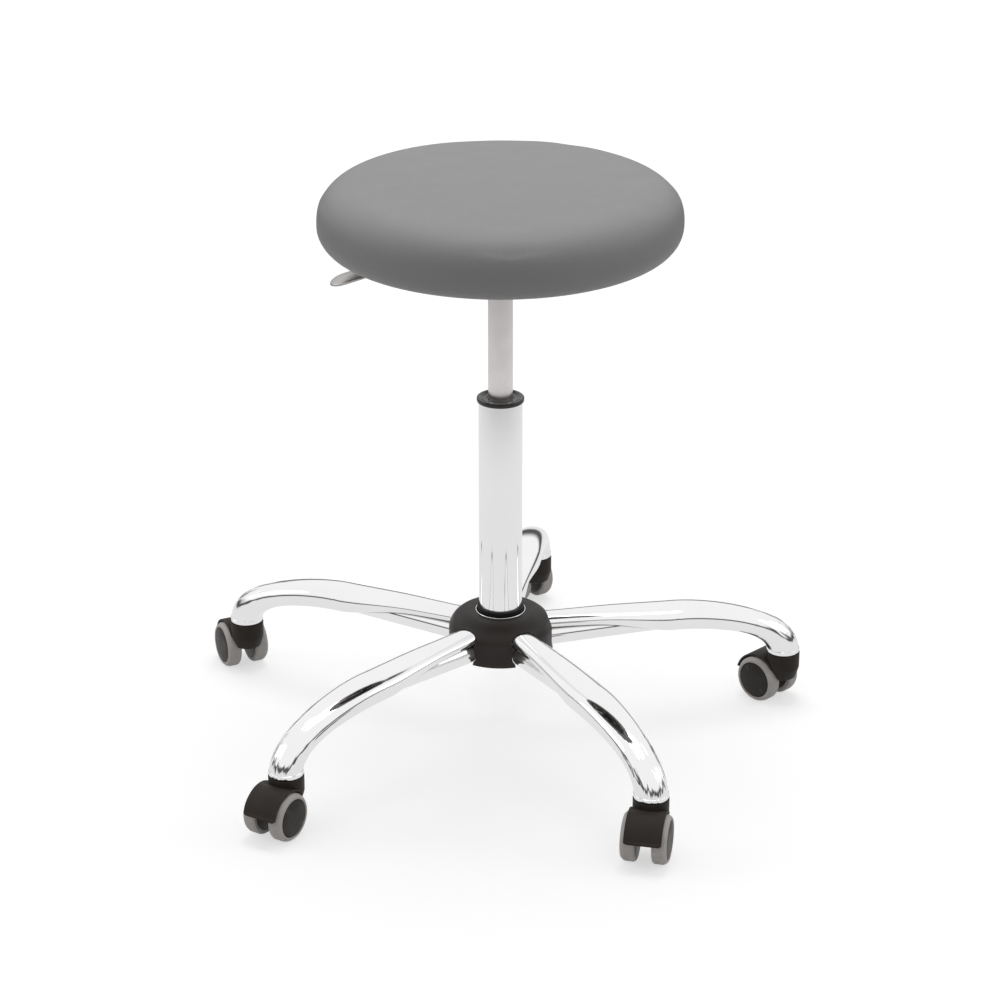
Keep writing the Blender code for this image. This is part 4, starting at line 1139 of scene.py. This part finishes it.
def tyre_profile():
    half = TYRE_WIDTH / 2
    inner = WHEEL_RADIUS - TYRE_DEPTH
    points = [
        (inner, half - 0.0002, 0.0003),
        (WHEEL_RADIUS - 0.0034, half, 0.0009),
        (WHEEL_RADIUS - 0.0012, half - 0.0022, 0.003),
        (WHEEL_RADIUS, half - 0.0050, 0.004),
        (WHEEL_RADIUS, 0.0022 - half, 0.0016),
        (WHEEL_RADIUS - 0.0016, -half, 0.0012),
        (inner, -half, 0.0002),
    ]
    return filleted(points, 5, True)


def disc_profile():
    outer = WHEEL_RADIUS - TYRE_DEPTH - GAP
    face = TYRE_WIDTH / 2 - DISC_RECESS
    back = -TYRE_WIDTH / 2
    hub_back = back + DISC_HUB_DEPTH
    points = [
        (0, face + DISC_DOMING, 0),
        (outer * 0.6, face + 0.0009, 0.004),
        (outer - 0.0012, face + 0.0001, 0.0004),
        (outer, face - 0.0010, 0.0004),
        (outer, back, 0.0004),
        (DISC_HUB_RADIUS, back, 0.0003),
        (DISC_HUB_RADIUS - 0.0005, hub_back, 0.0005),
        (AXLE_HOLE_RADIUS, hub_back, 0.0002),
        (AXLE_HOLE_RADIUS, AXLE_END, 0),
        (0, AXLE_END, 0),
    ]
    return filleted(points, 4)


def make_casters():
    housing = housing_mesh()
    tyre = revolved("tyre", tyre_profile(), 128, True, 60)
    disc = revolved("disc", disc_profile(), 96, False, 35)
    for name in ARM_ANGLES:
        place = caster_frame(name)
        hood, body = f"caster_hood_{name}", f"caster_{name}"
        piece(hood, housing, HOUSING, body, "black_plastic", f"caster_housing_{name}", place=place)
        for side, sign in (("left", 1), ("right", -1)):
            at = place @ axle_frame(sign * WHEEL_SPACING / 2, sign)
            wheel = f"{name}_{side}"
            body = f"wheel_{wheel}"
            piece(f"tyre_{wheel}", tyre, TYRE, body, "grey_tyre", f"caster_tyre_{wheel}", place=at)
            piece(f"disc_{wheel}", disc, DISC, body, "black_plastic", f"caster_wheel_{wheel}", place=at)


# Floor, light and camera


FLOOR_IN_MIRRORS = 0.80
FLOOR_ALBEDO = 0.65
FLOOR_SEEN_ALBEDO = 0.60
FLOOR_MIRROR_ALBEDO = 0.08
FLOOR_GLOW_NEAR = 0.59
FLOOR_GLOW_FAR = 0.76
FLOOR_SEEN_FADE = (0.4, 3.0)
FLOOR_MIRROR_FADE = (0.9, 3.2)
FLOOR_LEVEL = -0.0004
FLOOR_RADIUS = 6.0
WORLD_LIGHT = 0.42
ROOM_DARK = 0.10
ROOM_HORIZON = (0.06, 0.22)


def ray_is(tree, *names):
    """1 for rays of these kinds and 0 for others."""
    path = tree.nodes.new("ShaderNodeLightPath")
    total = path.outputs[names[0]]
    for name in names[1:]:
        most = tree.nodes.new("ShaderNodeMath")
        most.operation = "MAXIMUM"
        tree.links.new(total, most.inputs[0])
        tree.links.new(path.outputs[name], most.inputs[1])
        total = most.outputs[0]
    return total


def times(tree, first, second):
    made = tree.nodes.new("ShaderNodeMath")
    made.operation = "MULTIPLY"
    for socket, value in zip(made.inputs, (first, second)):
        if isinstance(value, float):
            socket.default_value = value
        else:
            tree.links.new(value, socket)
    return made.outputs[0]


def stepped(tree, value, start, end, low, high):
    made = tree.nodes.new("ShaderNodeMapRange")
    made.interpolation_type = "SMOOTHSTEP"
    for socket, number in (("From Min", start), ("From Max", end), ("To Min", low), ("To Max", high)):
        made.inputs[socket].default_value = number
    tree.links.new(value, made.inputs["Value"])
    return made.outputs["Result"]


def blended(tree, share, first, second):
    made = tree.nodes.new("ShaderNodeMix")
    made.data_type = "FLOAT"
    tree.links.new(share, made.inputs["Factor"])
    for name, value in (("A", first), ("B", second)):
        if isinstance(value, float):
            made.inputs[name].default_value = value
        else:
            tree.links.new(value, made.inputs[name])
    return made.outputs["Result"]


def make_floor():
    """A white sweep that keeps the stool's shadow. In mirrors it falls off into the dark room."""
    material = bpy.data.materials.new("floor")
    material.use_nodes = True
    tree = material.node_tree
    tree.nodes.clear()
    output = tree.nodes.new("ShaderNodeOutputMaterial")
    place = tree.nodes.new("ShaderNodeTexCoord")
    far = tree.nodes.new("ShaderNodeVectorMath")
    far.operation = "LENGTH"
    tree.links.new(place.outputs["Object"], far.inputs[0])
    seen = ray_is(tree, "Is Camera Ray", "Is Transmission Ray")
    mirrored = ray_is(tree, "Is Glossy Ray")
    distance = far.outputs["Value"]
    seen_glow = stepped(tree, distance, *FLOOR_SEEN_FADE, FLOOR_GLOW_NEAR, FLOOR_GLOW_FAR)
    far_in_mirrors = ROOM_DARK * FLOOR_IN_MIRRORS
    mirror_glow = stepped(tree, distance, *FLOOR_MIRROR_FADE, FLOOR_IN_MIRRORS, far_in_mirrors)
    glow = tree.nodes.new("ShaderNodeEmission")
    glow.inputs["Color"].default_value = (1, 1, 1, 1)
    strength = blended(tree, mirrored, times(tree, seen, seen_glow), mirror_glow)
    tree.links.new(strength, glow.inputs["Strength"])
    matt = blended(tree, seen, FLOOR_ALBEDO, FLOOR_SEEN_ALBEDO)
    albedo = blended(tree, mirrored, matt, FLOOR_MIRROR_ALBEDO)
    diffuse = tree.nodes.new("ShaderNodeBsdfDiffuse")
    tree.links.new(albedo, diffuse.inputs["Color"])
    both = tree.nodes.new("ShaderNodeAddShader")
    tree.links.new(diffuse.outputs[0], both.inputs[0])
    tree.links.new(glow.outputs[0], both.inputs[1])
    tree.links.new(both.outputs[0], output.inputs["Surface"])
    rings = [(radius, FLOOR_LEVEL) for radius in (0, 1.0, FLOOR_RADIUS)]
    floor = linked("floor", revolved("floor", rings, 96))
    floor.data.materials.append(material)


def make_world():
    """White for the camera, dim as light on matt surfaces, and a dark room low down in mirrors."""
    world = bpy.data.worlds.new("studio")
    bpy.context.scene.world = world
    world.use_nodes = True
    tree = world.node_tree
    tree.nodes.clear()
    output = tree.nodes.new("ShaderNodeOutputWorld")
    place = tree.nodes.new("ShaderNodeTexCoord")
    parts = tree.nodes.new("ShaderNodeSeparateXYZ")
    tree.links.new(place.outputs["Generated"], parts.inputs[0])
    room = stepped(tree, parts.outputs["Z"], *ROOM_HORIZON, ROOM_DARK, 1.0)
    seen = ray_is(tree, "Is Camera Ray", "Is Transmission Ray")
    strength = blended(tree, ray_is(tree, "Is Glossy Ray"), blended(tree, seen, WORLD_LIGHT, 1.0), room)
    light = tree.nodes.new("ShaderNodeBackground")
    light.inputs["Color"].default_value = (1, 1, 1, 1)
    tree.links.new(strength, light.inputs["Strength"])
    tree.links.new(light.outputs[0], output.inputs["Surface"])


def make_lamp(name, place, target, size, power):
    data = bpy.data.lights.new(name, "AREA")
    data.shape = "DISK"
    data.size = size
    data.energy = power
    lamp = bpy.data.objects.new(name, data)
    bpy.context.scene.collection.objects.link(lamp)
    lamp.location = place
    lamp.rotation_mode = "QUATERNION"
    lamp.rotation_quaternion = (Vector(target) - Vector(place)).to_track_quat("-Z", "Y")
    lamp.visible_camera = False


def make_camera():
    data = bpy.data.cameras.new("camera")
    data.lens = CAMERA_LENS
    data.sensor_width = 36.0
    data.shift_x = CAMERA_SHIFT
    camera = bpy.data.objects.new("camera", data)
    bpy.context.scene.collection.objects.link(camera)
    back = Vector(
        (
            math.sin(CAMERA_AZIMUTH) * math.cos(CAMERA_ELEVATION),
            -math.cos(CAMERA_AZIMUTH) * math.cos(CAMERA_ELEVATION),
            math.sin(CAMERA_ELEVATION),
        )
    )
    camera.location = CAMERA_TARGET + back * CAMERA_DISTANCE
    camera.rotation_mode = "QUATERNION"
    camera.rotation_quaternion = (-back).to_track_quat("-Z", "Y")
    bpy.context.scene.camera = camera


make_camera()
make_floor()
make_world()
make_lamp("top", (0.0, 0.35, 2.5), (0, 0.05, 0.4), 1.5, 20)
make_lamp("left", (-2.4, -0.2, 1.3), (0, 0, 0.35), 1.2, 6)
make_lamp("right", (2.4, 0.2, 1.3), (0, 0, 0.35), 1.2, 5)
make_cushion()
make_staples()
make_lever()
make_bolts()
make_column()
make_arms()
make_hub_cover()
make_casters()

bpy.context.scene.view_settings.view_transform = "Standard"
